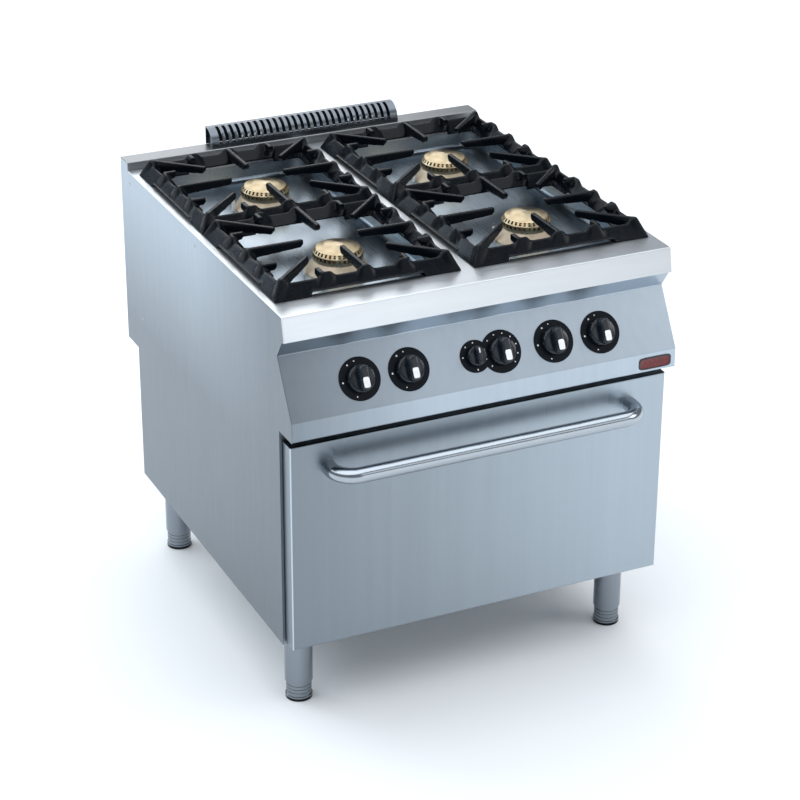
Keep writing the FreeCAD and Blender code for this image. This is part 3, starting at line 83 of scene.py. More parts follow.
# burners: the crown's outline is (radius, height above its seat); ports fill two of its bands
SEAT_Z = 0.838
PORTS = 32
COLUMNS_PER_PORT = 4
PORT_DEPTH = 0.007
CROWN_OUTLINE = (
    (0.0192, -0.0100),
    (0.0196, -0.0092),
    (0.0196, 0.0000),
    (0.0478, 0.0000),
    (0.0485, 0.0008),
    (0.0485, 0.0063),
    (0.0485, 0.0125),
    (0.0484, 0.0131),
    (0.0480, 0.0138),
    (0.0470, 0.0152),
    (0.0429, 0.0210),
    (0.0422, 0.0219),
    (0.0414, 0.0225),
    (0.0404, 0.0229),
    (0.0250, 0.0257),
    (0.0110, 0.0282),
    (0.0096, 0.0284),
)
PORT_ROWS = (6, 10)
WELL_FLOOR_Z = 0.812
PILOT_OFFSET = 0.054
ELECTRODE_OFFSET = 0.066
ELECTRODE_BACK = 0.008

# controls
KNOB_GAP = 0.006
KNOB_RADIUS = 0.0265
KNOB_SKIRT = 0.009
GRIP_WIDTH = 0.023
GRIP_LENGTH = 0.049
GRIP_TOP = 0.0318
SMALL_KNOB_RADIUS = 0.019
SMALL_KNOB_TOP = 0.026
DIAL_FACE = 0.0012
DIAL_MARK_RADIUS = 0.0340
SMALL_DIAL_MARK_RADIUS = 0.0255
DIAL_DOT_RADIUS = 0.0013

# well rims
WELL_MIDDLE = (0.2005, 0.0325)
WELL_HALF = (0.1755, 0.3495)
WELL_CORNER = 0.042
DECK_Z = 0.850


# ---------------------------------------------------------------- materials

class Graph:
    """A material's nodes, with short ways to add and join them."""

    def __init__(self, name, color, metallic, roughness):
        self.material = bpy.data.materials.new(name)
        self.material.use_nodes = True
        self.tree = self.material.node_tree
        self.shader = self.tree.nodes["Principled BSDF"]
        self.set("Base Color", (*color, 1))
        self.set("Metallic", metallic)
        self.set("Roughness", roughness)

    def feed(self, socket, value):
        if isinstance(value, bpy.types.NodeSocket):
            self.tree.links.new(value, socket)
        else:
            socket.default_value = value

    def set(self, name, value):
        self.feed(self.shader.inputs[name], value)

    def add(self, kind, inputs, **properties):
        node = self.tree.nodes.new(kind)
        for name, value in properties.items():
            setattr(node, name, value)
        for name, value in inputs.items():
            self.feed(node.inputs[name], value)
        return node

    def place(self, stretch):
        """Object coordinates, multiplied by a scale along each axis."""
        coordinates = self.add("ShaderNodeTexCoord", {})
        inputs = {"Vector": coordinates.outputs["Object"], "Scale": stretch}
        return self.add("ShaderNodeMapping", inputs).outputs["Vector"]

    def noise(self, scale, stretch=(1, 1, 1), detail=3, rough=0.55):
        inputs = {"Vector": self.place(stretch), "Scale": scale, "Detail": detail, "Roughness": rough}
        return self.add("ShaderNodeTexNoise", inputs).outputs["Fac"]

    def cells(self, scale, stretch=(1, 1, 1)):
        inputs = {"Vector": self.place(stretch), "Scale": scale}
        return self.add("ShaderNodeTexVoronoi", inputs).outputs["Color"]

    def between(self, value, low, high, start=0.3, end=0.7):
        """The value, spread from start..end to low..high."""
        inputs = {"Value": value, "From Min": start, "From Max": end, "To Min": low, "To Max": high}
        return self.add("ShaderNodeMapRange", inputs).outputs["Result"]

    def blend(self, amount, first, second):
        node = self.add("ShaderNodeMix", {}, data_type="RGBA")
        self.feed(node.inputs["Factor"], amount)
        self.feed(node.inputs[6], first if isinstance(first, bpy.types.NodeSocket) else (*first, 1))
        self.feed(node.inputs[7], second if isinstance(second, bpy.types.NodeSocket) else (*second, 1))
        return node.outputs[2]

    def bump(self, height, depth, normal=None):
        inputs = {"Height": height, "Distance": depth, "Strength": 1.0}
        node = self.add("ShaderNodeBump", inputs)
        if normal is not None:
            self.feed(node.inputs["Normal"], normal)
        return node.outputs["Normal"]

    def along(self, axis, start, end, first, last):
        """A number that goes from first to last between two places on an axis."""
        coordinates = self.add("ShaderNodeTexCoord", {}).outputs["Object"]
        place = self.add("ShaderNodeSeparateXYZ", {"Vector": coordinates}).outputs[axis]
        return self.between(place, first, last, start, end)

    def product(self, first, second):
        return self.add("ShaderNodeMath", {0: first, 1: second}, operation="MULTIPLY").outputs["Value"]

    def scaled(self, color, factor):
        """A colour socket multiplied by a factor."""
        spread = self.add("ShaderNodeCombineXYZ", {"X": factor, "Y": factor, "Z": factor}).outputs["Vector"]
        return self.add("ShaderNodeVectorMath", {0: color, 1: spread}, operation="MULTIPLY").outputs["Vector"]

    def edges(self, low, high):
        """How far a place is on a convex edge, from 0 to 1."""
        geometry = self.add("ShaderNodeNewGeometry", {})
        return self.between(geometry.outputs["Pointiness"], 0, 1, low, high)


def shaded(color, factor):
    return tuple(min(1.0, channel * factor) for channel in color)


def brushed_steel(name, color, roughness, along, contrast=0.03, depth=0.00001, painted_light_and_tone_fades=(), painted_corner_highlight=None):
    """Sheet steel with long fine brush lines along one axis, and faint broad smears.

    Each fade (axis, start, end, first, last) scales the colour along an axis: painted light and shade on some
    sheets, the part's own tone on others.
    A painted corner highlight is a pair of such scales whose product, plus one, scales the colour, so one corner
    is painted brighter.
    """
    graph = Graph(name, color, 1.0, roughness)
    stretch = {"x": (0.02, 1, 1), "y": (1, 0.02, 1), "z": (1, 1, 0.02)}[along]
    lines = graph.noise(420, stretch, 4, 0.7)
    streaks = graph.noise(60, stretch, 2)
    smears = graph.noise(2.6, (1, 1, 1), 2)
    tone = graph.blend(graph.between(streaks, 0, 1), shaded(color, 1 - contrast), shaded(color, 1 + contrast))
    tone = graph.blend(graph.between(smears, 0, 0.4), tone, shaded(color, 1.06))
    # painted light and shade, and on the feet their own dark pad, scale the colour along axes
    for fade in painted_light_and_tone_fades:
        tone = graph.scaled(tone, graph.along(*fade))
    # painted highlight: one corner of the sheet made brighter
    if painted_corner_highlight is not None:
        corner = graph.product(graph.along(*painted_corner_highlight[0]), graph.along(*painted_corner_highlight[1]))
        painted_highlight_gain = graph.add("ShaderNodeMath", {0: corner, 1: 1.0}, operation="ADD").outputs["Value"]
        tone = graph.scaled(tone, painted_highlight_gain)
    graph.set("Base Color", tone)
    fine = graph.between(lines, roughness - 0.05, roughness + 0.06)
    graph.set("Roughness", fine)
    graph.set("Normal", graph.bump(lines, depth))
    return graph.material


def zinc_steel(name, color, roughness):
    """Galvanised sheet with its broad crystal spangle."""
    graph = Graph(name, color, 1.0, roughness)
    spangle = graph.cells(130)
    brightness = graph.add("ShaderNodeSeparateColor", {"Color": spangle}).outputs["Red"]
    graph.set("Base Color", graph.blend(brightness, shaded(color, 0.85), shaded(color, 1.12)))
    graph.set("Roughness", graph.between(brightness, roughness - 0.07, roughness + 0.1, 0, 1))
    graph.set("Normal", graph.bump(graph.noise(300), 0.00002))
    return graph.material


def turned_metal(name, color, roughness):
    """Lathe-turned metal: bright round tool lines, worn where it is handled."""
    graph = Graph(name, color, 1.0, roughness)
    stains = graph.noise(38, (1, 1, 1), 4)
    tool = graph.noise(900, (1, 1, 1), 2)
    dark = shaded(color, 0.72)
    graph.set("Base Color", graph.blend(graph.between(stains, 0, 1, 0.35, 0.75), color, dark))
    graph.set("Roughness", graph.between(stains, roughness - 0.04, roughness + 0.12))
    graph.set("Normal", graph.bump(tool, 0.00002))
    return graph.material


def crown_brass():
    """Turned brass: highlights fan out from the middle, heat has browned it in places, and its convex edges carry
    a painted highlight.
    """
    color = (0.52, 0.43, 0.28)
    graph = Graph("Crown brass", color, 1.0, 0.30)
    heat = graph.noise(45, (1, 1, 1), 4)
    rings = graph.noise(1600, (1, 1, 1), 2)
    worn = graph.blend(graph.between(heat, 0, 1, 0.42, 0.8), color, (0.38, 0.27, 0.16))
    # painted highlight: convex edges turned pale brass
    edge = graph.blend(graph.edges(0.52, 0.60), worn, (0.95, 0.86, 0.62))
    graph.set("Base Color", edge)
    graph.set("Roughness", graph.between(heat, 0.27, 0.38))
    graph.set("Anisotropic", 0.85)
    tangent = graph.add("ShaderNodeTangent", {}, direction_type="RADIAL", axis="Z")
    graph.set("Tangent", tangent.outputs["Tangent"])
    graph.set("Normal", graph.bump(rings, 0.00001))
    return graph.material


def cast_bronze():
    """The matt, sand-cast burner bodies."""
    color = (0.47, 0.37, 0.25)
    graph = Graph("Burner casting", color, 0.85, 0.5)
    grain = graph.noise(700, (1, 1, 1), 5, 0.7)
    stains = graph.noise(30, (1, 1, 1), 3)
    graph.set("Base Color", graph.blend(graph.between(stains, 0, 1), (0.50, 0.41, 0.30), (0.68, 0.57, 0.44)))
    graph.set("Roughness", graph.between(grain, 0.42, 0.62))
    graph.set("Normal", graph.bump(grain, 0.0003))
    return graph.material


def grate_enamel():
    """Satin black enamel on cast iron, paler along its edges: partly wear, partly a painted edge highlight."""
    color = (0.0018, 0.0036, 0.0062)
    graph = Graph("Grate enamel", color, 0.0, 0.26)
    grain = graph.noise(420, (1, 1, 1), 4, 0.6)
    wear = graph.noise(55, (1, 1, 1), 3)
    # convex edges paler where the noise says worn: wear, and a painted highlight
    worn_and_highlighted_edges = graph.product(graph.edges(0.55, 0.70), graph.between(wear, 0.1, 0.7))
    graph.set("Base Color", graph.blend(worn_and_highlighted_edges, color, (0.05, 0.085, 0.12)))
    graph.set("Roughness", graph.between(wear, 0.18, 0.30))
    graph.set("Specular IOR Level", 0.16)
    graph.set("Normal", graph.bump(grain, 0.0003))
    return graph.material


def oven_enamel():
    graph = Graph("Oven enamel", (0.05, 0.055, 0.06), 0.0, 0.25)
    specks = graph.noise(900, (1, 1, 1), 2)
    flecks = graph.between(specks, 0, 1, 0.62, 0.68)
    graph.set("Base Color", graph.blend(flecks, (0.035, 0.038, 0.042), (0.35, 0.37, 0.39)))
    graph.set("Roughness", graph.between(graph.noise(30), 0.2, 0.36))
    graph.set("Coat Weight", 0.4)
    graph.set("Normal", graph.bump(graph.noise(160), 0.0001))
    return graph.material


def mineral_wool():
    graph = Graph("Mineral wool", (0.62, 0.54, 0.34), 0.0, 0.95)
    fibres = graph.noise(260, (1, 6, 1), 6, 0.8)
    graph.set("Base Color", graph.blend(graph.between(fibres, 0, 1), (0.42, 0.35, 0.20), (0.75, 0.68, 0.46)))
    graph.set("Sheen Weight", 0.3)
    graph.set("Normal", graph.bump(fibres, 0.003))
    return graph.material


def plastic(name, color, roughness, grain=900, depth=0.00004, coat=0.0, shine=0.5):
    """Moulded plastic with a faint spark-eroded grain and finger marks."""
    graph = Graph(name, color, 0.0, roughness)
    texture = graph.noise(grain, (1, 1, 1), 3)
    marks = graph.noise(70, (1, 1, 1), 3)
    graph.set("Base Color", graph.blend(graph.between(marks, 0, 1), shaded(color, 0.85), shaded(color, 1.2)))
    graph.set("Roughness", graph.between(marks, roughness - 0.05, roughness + 0.08))
    graph.set("Specular IOR Level", shine)
    graph.set("Coat Weight", coat)
    graph.set("Coat Roughness", 0.12)
    graph.set("Normal", graph.bump(texture, depth))
    return graph.material


# painted light and shade on the casing, worktop and door sheets, as a colour scale along an axis: (axis, start,
# end, first, last)
# painted shade: darker towards the left end, and darker again on the left side panel
CASING_PAINTED_SHADE = (
    ("X", -0.40, -0.12, 0.56, 1.03),
    ("X", -0.3995, -0.3970, 0.74, 1),
)
# painted highlight: brighter towards the top and the back
CASING_PAINTED_HIGHLIGHT = (("Z", 0.52, 0.82, 0, 1.1), ("Y", -0.32, 0.05, 0, 1))
# painted shade on the rear ledge, and a painted reflection that is brighter at the left and darker at the right
WORKTOP_PAINTED_LIGHT = (
    ("Y", 0.424, 0.430, 1.0, 0.42),
    ("X", -0.35, 0.40, 1.15, 0.85),
)
# painted light on the door: darker to the left and brighter to the right, a painted shadow along its top edge, a
# painted highlight where it is folded at its left edge, and darker on its left end face
DOOR_PAINTED_LIGHT = (
    ("X", -0.40, 0.30, 0.74, 1.24),
    ("Z", 0.5938, 0.5944, 1.0, 0.06),
    ("X", -0.3925, -0.3918, 2.4, 1.0),
    ("X", -0.39398, -0.39392, 0.45, 1.0),
)
# a foot has a black ring where it meets the floor
FOOT_FADES = (("Z", 0.0055, 0.0065, 0.07, 1.0),)

# one material for each slot in the record
MATERIALS = {
    # the casing, worktop and door steels carry the painted light and shade above
    "casing_steel": brushed_steel(
        "Casing steel", (0.405, 0.465, 0.525), 0.34, "z", painted_light_and_tone_fades=CASING_PAINTED_SHADE, painted_corner_highlight=CASING_PAINTED_HIGHLIGHT
    ),
    "worktop_steel": brushed_steel(
        "Worktop steel", (0.64, 0.665, 0.69), 0.37, "x", 0.015, 0.000003, WORKTOP_PAINTED_LIGHT
    ),
    "door_steel": brushed_steel(
        "Door steel", (0.30, 0.345, 0.385), 0.32, "z", 0.025, 0.00001, DOOR_PAINTED_LIGHT
    ),
    "well_steel": brushed_steel("Well steel", (0.34, 0.40, 0.455), 0.30, "y", 0.03, 0.000003),
    "galvanised_steel": zinc_steel("Galvanised steel", (0.52, 0.54, 0.55), 0.42),
    "foot_steel": brushed_steel("Foot steel", (0.25, 0.28, 0.315), 0.20, "z"),
    "flue_steel": brushed_steel("Flue steel", (0.17, 0.19, 0.215), 0.28, "x"),
    "screw_steel": turned_metal("Screw steel", (0.30, 0.32, 0.34), 0.3),
    "burner_casting": cast_bronze(),
    "crown_brass": crown_brass(),
    "igniter_ceramic": plastic("Igniter ceramic", (0.86, 0.85, 0.80), 0.2, 600, 0.00003, 0.5),
    "oven_enamel": oven_enamel(),
    "insulation_wool": mineral_wool(),
    "gasket_rubber": plastic("Gasket rubber", (0.012, 0.012, 0.013), 0.7, 500, 0.0002),
    "rack_chrome": brushed_steel("Rack chrome", (0.72, 0.73, 0.75), 0.14, "x", 0.03),
    "handle_steel": brushed_steel("Handle steel", (0.40, 0.44, 0.48), 0.18, "x", 0.03),
    "knob_plastic": plastic("Knob plastic", (0.006, 0.010, 0.016), 0.24, 1200, 0.00003, 0.2, 0.4),
    "dial_plastic": plastic("Dial plastic", (0.004, 0.006, 0.009), 0.3, 1200, 0.00002, 0.0, 0.12),
    "valve_brass": turned_metal("Valve brass", (0.72, 0.58, 0.32), 0.3),
    "pipe_steel": turned_metal("Pipe steel", (0.50, 0.51, 0.52), 0.4),
    "tube_aluminium": turned_metal("Tube aluminium", (0.76, 0.77, 0.78), 0.3),
    "badge_red": plastic("Badge red", (0.13, 0.006, 0.008), 0.25, 900, 0.00002, 0.1),
    "grate_enamel": grate_enamel(),
    "foot_tip": brushed_steel("Foot tip", (0.25, 0.28, 0.31), 0.22, "z", painted_light_and_tone_fades=FOOT_FADES),
}
MARK_WHITE = plastic("Mark white", (0.86, 0.87, 0.88), 0.35, 900, 0.00002)
BADGE_EDGE = plastic("Badge edge", (0.018, 0.004, 0.005), 0.3, 900, 0.00002, 0.1)


def dress_nodes():
    """Give every CAD node the material of its slot."""
    for subpart in frame["record"]["subparts"]:
        mesh = NODES[subpart["node"]].data
        mesh.materials.clear()
        mesh.materials.append(MATERIALS[subpart["material_slot"]])


# ---------------------------------------------------------------- mesh helpers

def finish_piece(name, mesh, body, replaced=(), place=None, smooth=35):
    """Make the piece, shade it, hang it on its body, and hide the CAD parts it stands for."""
    for polygon in mesh.polygons:
        polygon.use_smooth = True
    mesh.set_sharp_from_angle(angle=math.radians(smooth))
    piece = bpy.data.objects.new(name, mesh)
    bpy.context.scene.collection.objects.link(piece)
    if place is not None:
        piece.matrix_world = place
    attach(piece, body)
    if replaced:
        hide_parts(*replaced)
    return piece


def mesh_from(build, name, *materials):
    mesh = bpy.data.meshes.new(name)
    bmesh.ops.recalc_face_normals(build, faces=build.faces)
    build.to_mesh(mesh)
    build.free()
    for material in materials:
        mesh.materials.append(material)
    return mesh


def ring_of(build, points):
    return [build.verts.new(point) for point in points]


def join_rings(build, first, second, material=0):
    """Quads between two closed rings with the same number of points."""
    faces = []
    count = len(first)
    for index in range(count):
        after = (index + 1) % count
        face = build.faces.new((first[index], first[after], second[after], second[index]))
        face.material_index = material
        faces.append(face)
    return faces


def loft(build, rings, material=0):
    """A closed solid through rings of points; returns the faces that cap its two ends."""
    made = [ring_of(build, ring) for ring in rings]
    for first, second in zip(made, made[1:]):
        join_rings(build, first, second, material)
    caps = [build.faces.new(made[0]), build.faces.new(made[-1])]
    for cap in caps:
        cap.material_index = material
    return caps


def move_from(build, start, offset):
    """Move the points made since there were a certain number of them."""
    build.verts.ensure_lookup_table()
    for vertex in build.verts[start:]:
        vertex.co += Vector(offset)


def circle_points(radius, height, count=48, turn=0.0):
    angles = [turn + 2 * math.pi * index / count for index in range(count)]
    return [(radius * math.cos(angle), radius * math.sin(angle), height) for angle in angles]


def lathe(build, outline, count=48, material=0):
    """A solid of revolution from (radius, height) pairs, none of them on the axis."""
    loft(build, [circle_points(radius, height, count) for radius, height in outline], material)


def squircle(half_x, half_y, height, count=48, power=4.0, middle=(0.0, 0.0)):
    """A ring of points round a soft-cornered rectangle."""
    points = []
    for index in range(count):
        angle = 2 * math.pi * index / count
        cosine, sine = math.cos(angle), math.sin(angle)
        x = math.copysign(abs(cosine) ** (2 / power), cosine) * half_x
        y = math.copysign(abs(sine) ** (2 / power), sine) * half_y
        points.append((middle[0] + x, middle[1] + y, height))
    return points


def middle_of(node):
    low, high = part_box(node)
    return (low + high) / 2


def rounding(start, end, radius, steps=4):
    """(inset, height) pairs for a rounded shoulder that rises from start to end."""
    pairs = [(0.0, start)]
    for step in range(steps + 1):
        angle = math.pi / 2 * step / steps
        pairs.append((radius * (1 - math.cos(angle)), end - radius + radius * math.sin(angle)))
    return pairs


# ---------------------------------------------------------------- pan supports

def ridge_lift(along, pads):
    """How much of the pad height the ridge has at a place along its side."""
    gap = min(abs(along - pad) for pad in pads)
    share = min(1.0, max(0.0, (gap - PAD_HALF) / PAD_SLOPE))
    return 1 - share * share * (3 - 2 * share)


def grate_ring(half, other_half, along, pads, low_z, high_z):
    """The frame's cross-section at a place along one side, as (along, across, height)."""
    near_corner = half - abs(along) < FOOT_LENGTH
    foot_z = low_z if near_corner else low_z + FOOT_RELIEF
    top_z = high_z - RIDGE_DROP * (1 - ridge_lift(along, pads))
    section = (
        (0.0, foot_z),
        (GRATE_LEAN * (foot_z - low_z) / (high_z - RIDGE_DROP - low_z), foot_z + 0.001),
        (GRATE_LEAN, top_z - 0.001),
        (GRATE_LEAN + 0.001, top_z),
        (GRATE_LEAN + RIDGE_WIDTH, top_z),
        (GRATE_LEAN + RIDGE_WIDTH + 0.001, top_z - 0.001),
        (GRATE_BASE, foot_z + 0.002),
        (GRATE_BASE, foot_z),
    )
    return [(along * (half - inset) / half, -other_half + inset, z) for inset, z in section]


def grate_frame(build, half_x, half_y, low_z, high_z):
    """The ridged frame: four mitred sides, scalloped between the pads."""
    steps = 96
    rings = []
    for turn in range(4):
        half, other = (half_x, half_y) if turn % 2 == 0 else (half_y, half_x)
        quarter = (half - GRATE_LEAN) / 2
        pads = (-half, -quarter, 0.0, quarter, half)
        rotation = Matrix.Rotation(math.pi / 2 * turn, 3, "Z")
        for step in range(steps):
            along = -half + 2 * half * step / steps
            section = grate_ring(half, other, along, pads, low_z, high_z)
            rings.append(ring_of(build, [rotation @ Vector(point) for point in section]))
    for first, second in zip(rings, rings[1:] + rings[:1]):
        join_rings(build, first, second)


def grate_finger(build, direction, reach, outer, across, top_z, root_depth):
    """One bar of a pan support: narrow on top, deeper at its root, undercut at its tip."""
    rotation = Matrix.Rotation(direction, 3, "Z")
    stations = (
        (reach, FINGER_END_DEPTH),
        (reach + FINGER_TIP_SLANT, FINGER_TIP_DEPTH),
        (outer, root_depth),
    )
    rings = []
    for distance, depth in stations:
        corners = (
            (distance, across - FINGER_TOP / 2, top_z),
            (distance, across + FINGER_TOP / 2, top_z),
            (distance, across + FINGER_FOOT / 2, top_z - depth),
            (distance, across - FINGER_FOOT / 2, top_z - depth),
        )
        rings.append([rotation @ Vector(corner) for corner in corners])
    loft(build, rings)


def cast_mesh():
    """A pan support about its own middle: frame and fingers, run together like a casting."""
    low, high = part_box("grate_front_left")
    half_x = (high.x - low.x) / 2
    half_y = (high.y - low.y) / 2
    build = bmesh.new()
    grate_frame(build, half_x, half_y, low.z, high.z)
    ridge_x = half_x - GRATE_LEAN - RIDGE_WIDTH / 2
    ridge_y = half_y - GRATE_LEAN - RIDGE_WIDTH / 2
    for turn in range(4):
        direction = math.pi / 2 * turn
        outer, other = (ridge_x, ridge_y) if turn % 2 == 0 else (ridge_y, ridge_x)
        grate_finger(build, direction, MIDDLE_REACH, outer, 0.0, high.z, FINGER_ROOT_DEPTH)
        for side in (-1, 1):
            across = side * (other + RIDGE_WIDTH / 2) / 2
            grate_finger(build, direction, outer - RIB_REACH, outer, across, high.z, FINGER_TIP_DEPTH)
    for side_x in (-1, 1):
        for side_y in (-1, 1):
            direction = math.atan2(side_y * ridge_y, side_x * ridge_x)
            corner = math.hypot(ridge_x, ridge_y)
            grate_finger(build, direction, CORNER_REACH, corner, 0.0, high.z, FINGER_ROOT_DEPTH)
    rough = bpy.data.objects.new("rough_casting", mesh_from(build, "rough_casting"))
    bpy.context.scene.collection.objects.link(rough)
    remesh = rough.modifiers.new("Remesh", "REMESH")
    remesh.mode = "VOXEL"
    remesh.voxel_size = CAST_VOXEL
    soften = rough.modifiers.new("Soften", "SMOOTH")
    soften.factor = 0.5
    soften.iterations = 4
    thin = rough.modifiers.new("Thin", "DECIMATE")
    thin.ratio = 0.3
    bpy.context.view_layer.update()
    depsgraph = bpy.context.evaluated_depsgraph_get()
    mesh = bpy.data.meshes.new_from_object(rough.evaluated_get(depsgraph))
    mesh.name = "pan_support"
    mesh.materials.clear()
    mesh.materials.append(MATERIALS["grate_enamel"])
    bpy.data.objects.remove(rough)
    return mesh


def pan_supports():
    mesh = cast_mesh()
    for name in BURNERS:
        node = f"grate_{name}"
        middle = middle_of(node)
        place = Matrix.Translation((middle.x, middle.y, 0))
        finish_piece(f"pan_support_{name}", mesh.copy(), node, (node,), place, 50)


# ---------------------------------------------------------------- burners

def crown_mesh():
    """A burner crown about its own axis, with two rows of square ports sunk into its ring."""
    count = PORTS * COLUMNS_PER_PORT
    build = bmesh.new()
    rings = []
    for radius, height in CROWN_OUTLINE:
        rings.append(ring_of(build, circle_points(radius, height, count)))
    ports = []
    for row, (first, second) in enumerate(zip(rings, rings[1:]), start=1):
        faces = join_rings(build, first, second)
        if row in PORT_ROWS:
            for index, face in enumerate(faces):
                if index % COLUMNS_PER_PORT < COLUMNS_PER_PORT // 2:
                    ports.append(face)
    build.faces.new(rings[0])
    build.faces.new(rings[-1])
    bmesh.ops.recalc_face_normals(build, faces=build.faces)
    sunk = bmesh.ops.extrude_face_region(build, geom=ports)
    bmesh.ops.delete(build, geom=ports, context="FACES")
    for vertex in [item for item in sunk["geom"] if isinstance(item, bmesh.types.BMVert)]:
        radius = math.hypot(vertex.co.x, vertex.co.y)
        vertex.co.x *= (radius - PORT_DEPTH) / radius
        vertex.co.y *= (radius - PORT_DEPTH) / radius
    return mesh_from(build, "burner_crown", MATERIALS["crown_brass"])


def crowns():
    mesh = crown_mesh()
    for name in BURNERS:
        node = f"burner_crown_{name}"
        middle = middle_of(node)
        place = Matrix.Translation((middle.x, middle.y, SEAT_Z))
        finish_piece(f"flame_crown_{name}", mesh.copy(), f"crown_{name}", (node,), place, 30)


def spark_mesh():
    """A pilot hood and a ceramic electrode with its steel tip, about the burner's axis."""
    build = bmesh.new()
    hood = (
        (0.0052, 0.0),
        (0.0060, 0.0008),
        (0.0060, 0.0100),
        (0.0052, 0.0110),
        (0.0052, 0.0150),
        (0.0045, 0.0166),
        (0.0020, 0.0170),
    )
    lathe(build, hood, 24, 1)
    move_from(build, 0, (-PILOT_OFFSET, -PILOT_OFFSET, WELL_FLOOR_Z))
    start = len(build.verts)
    insulator = (
        (0.0030, 0.0),
        (0.0032, 0.0006),
        (0.0032, 0.0120),
        (0.0026, 0.0128),
        (0.0032, 0.0136),
        (0.0032, 0.0280),
        (0.0022, 0.0305),
        (0.0012, 0.0308),
    )
    lathe(build, insulator, 24, 0)
    pin = ((0.0010, 0.0300), (0.0010, 0.0372), (0.0004, 0.0380))
    lathe(build, pin, 12, 1)
    move_from(build, start, (-ELECTRODE_OFFSET, ELECTRODE_BACK, WELL_FLOOR_Z))
    return build


def sparks():
    """All the pilots and electrodes, as one piece on the chassis."""
    build = bmesh.new()
    pattern = spark_mesh()
    shape = bpy.data.meshes.new("spark_pattern")
    pattern.to_mesh(shape)
    pattern.free()
    for name in BURNERS:
        middle = middle_of(f"burner_crown_{name}")
        start = len(build.verts)
        build.from_mesh(shape)
        move_from(build, start, (middle.x, middle.y, 0))
    mesh = mesh_from(build, "sparks", MATERIALS["igniter_ceramic"], MATERIALS["screw_steel"])
    finish_piece("pilots_and_electrodes", mesh, "chassis", ("pilots_and_igniters",))


# ---------------------------------------------------------------- well rims

def rounded_outline(half_x, half_y, corner, steps=12):
    """Points round a rectangle with round corners, with their outward directions."""
    points = []
    for turn, (sign_x, sign_y) in enumerate(((1, 1), (-1, 1), (-1, -1), (1, -1))):
        for step in range(steps + 1):
            angle = math.pi / 2 * (turn + step / steps)
            outward = Vector((math.cos(angle), math.sin(angle), 0))
            centre = Vector((sign_x * (half_x - corner), sign_y * (half_y - corner), 0))
            points.append((centre + outward * corner, outward))
    return points


def well_rims():
    """The rolled edge where the deck turns down into each well."""
    section = (
        (0.0050, 0.00005),
        (0.0030, 0.00030),
        (0.0010, 0.00030),
        (-0.0008, -0.00020),
        (-0.0018, -0.00120),
        (-0.0023, -0.00280),
        (-0.0026, -0.00450),
        (-0.0012, -0.00450),
        (-0.0004, -0.00250),
        (0.0010, -0.00100),
    )
    for side, sign in (("left", -1), ("right", 1)):
        build = bmesh.new()
        rings = []
        for point, outward in rounded_outline(*WELL_HALF, WELL_CORNER):
            place = point + Vector((sign * WELL_MIDDLE[0], WELL_MIDDLE[1], DECK_Z))
            rings.append(ring_of(build, [place + outward * out + Vector((0, 0, up)) for out, up in section]))
        for first, second in zip(rings, rings[1:] + rings[:1]):
            join_rings(build, first, second)
        mesh = mesh_from(build, "well_rim", MATERIALS["worktop_steel"])
        finish_piece(f"{side}_well_rim", mesh, "chassis", smooth=60)


# ---------------------------------------------------------------- controls

def control_place(name):
    """Where a control's own frame is: X along the console, Y up its face, Z out of it."""
    joint = JOINTS[f"knob_{name}_turn"]
    outward = Vector(joint["axis"]).normalized()
    right = Vector((1, 0, 0))
    up = outward.cross(right)
    turn = Matrix((right, up, outward)).transposed().to_4x4()
    return Matrix.Translation(joint["pos_m"]) @ turn


def knob_mesh():
    """A skirted knob with a wide soft grip and a pale pointer let into its lower half."""
    build = bmesh.new()
    skirt = [(KNOB_RADIUS, KNOB_GAP), (KNOB_RADIUS, KNOB_GAP + 0.0012)]
    top = KNOB_GAP + KNOB_SKIRT
    for inset, height in rounding(KNOB_GAP + 0.002, top, 0.003):
        skirt.append((KNOB_RADIUS - 0.0004 - inset, height))
    skirt.append((KNOB_RADIUS - 0.006, top + 0.0006))
    skirt.append((0.004, top + 0.0010))
    lathe(build, skirt, 64)
    rings = []
    half_x = GRIP_WIDTH / 2
    half_y = GRIP_LENGTH / 2
    for inset, height in rounding(top - 0.001, GRIP_TOP, 0.0045, 6):
        lean = (height - top) * 0.10
        rings.append(squircle(half_x - inset - lean, half_y - inset - lean, height, 64, 3.6))
    flat = GRIP_TOP + 0.0002
    rings.append(squircle(half_x * 0.35, half_y * 0.55, flat, 64, 3.6))
    loft(build, rings)
    pointer_y = -half_y * 0.42
    pointer = []
    for inset, height in rounding(GRIP_TOP - 0.003, GRIP_TOP + 0.0007, 0.0007, 3):
        pointer.append(squircle(0.0062 - inset, 0.0098 - inset, height, 40, 5, (0, pointer_y)))
    loft(build, pointer, 1)
    return mesh_from(build, "knob", MATERIALS["knob_plastic"], MARK_WHITE)


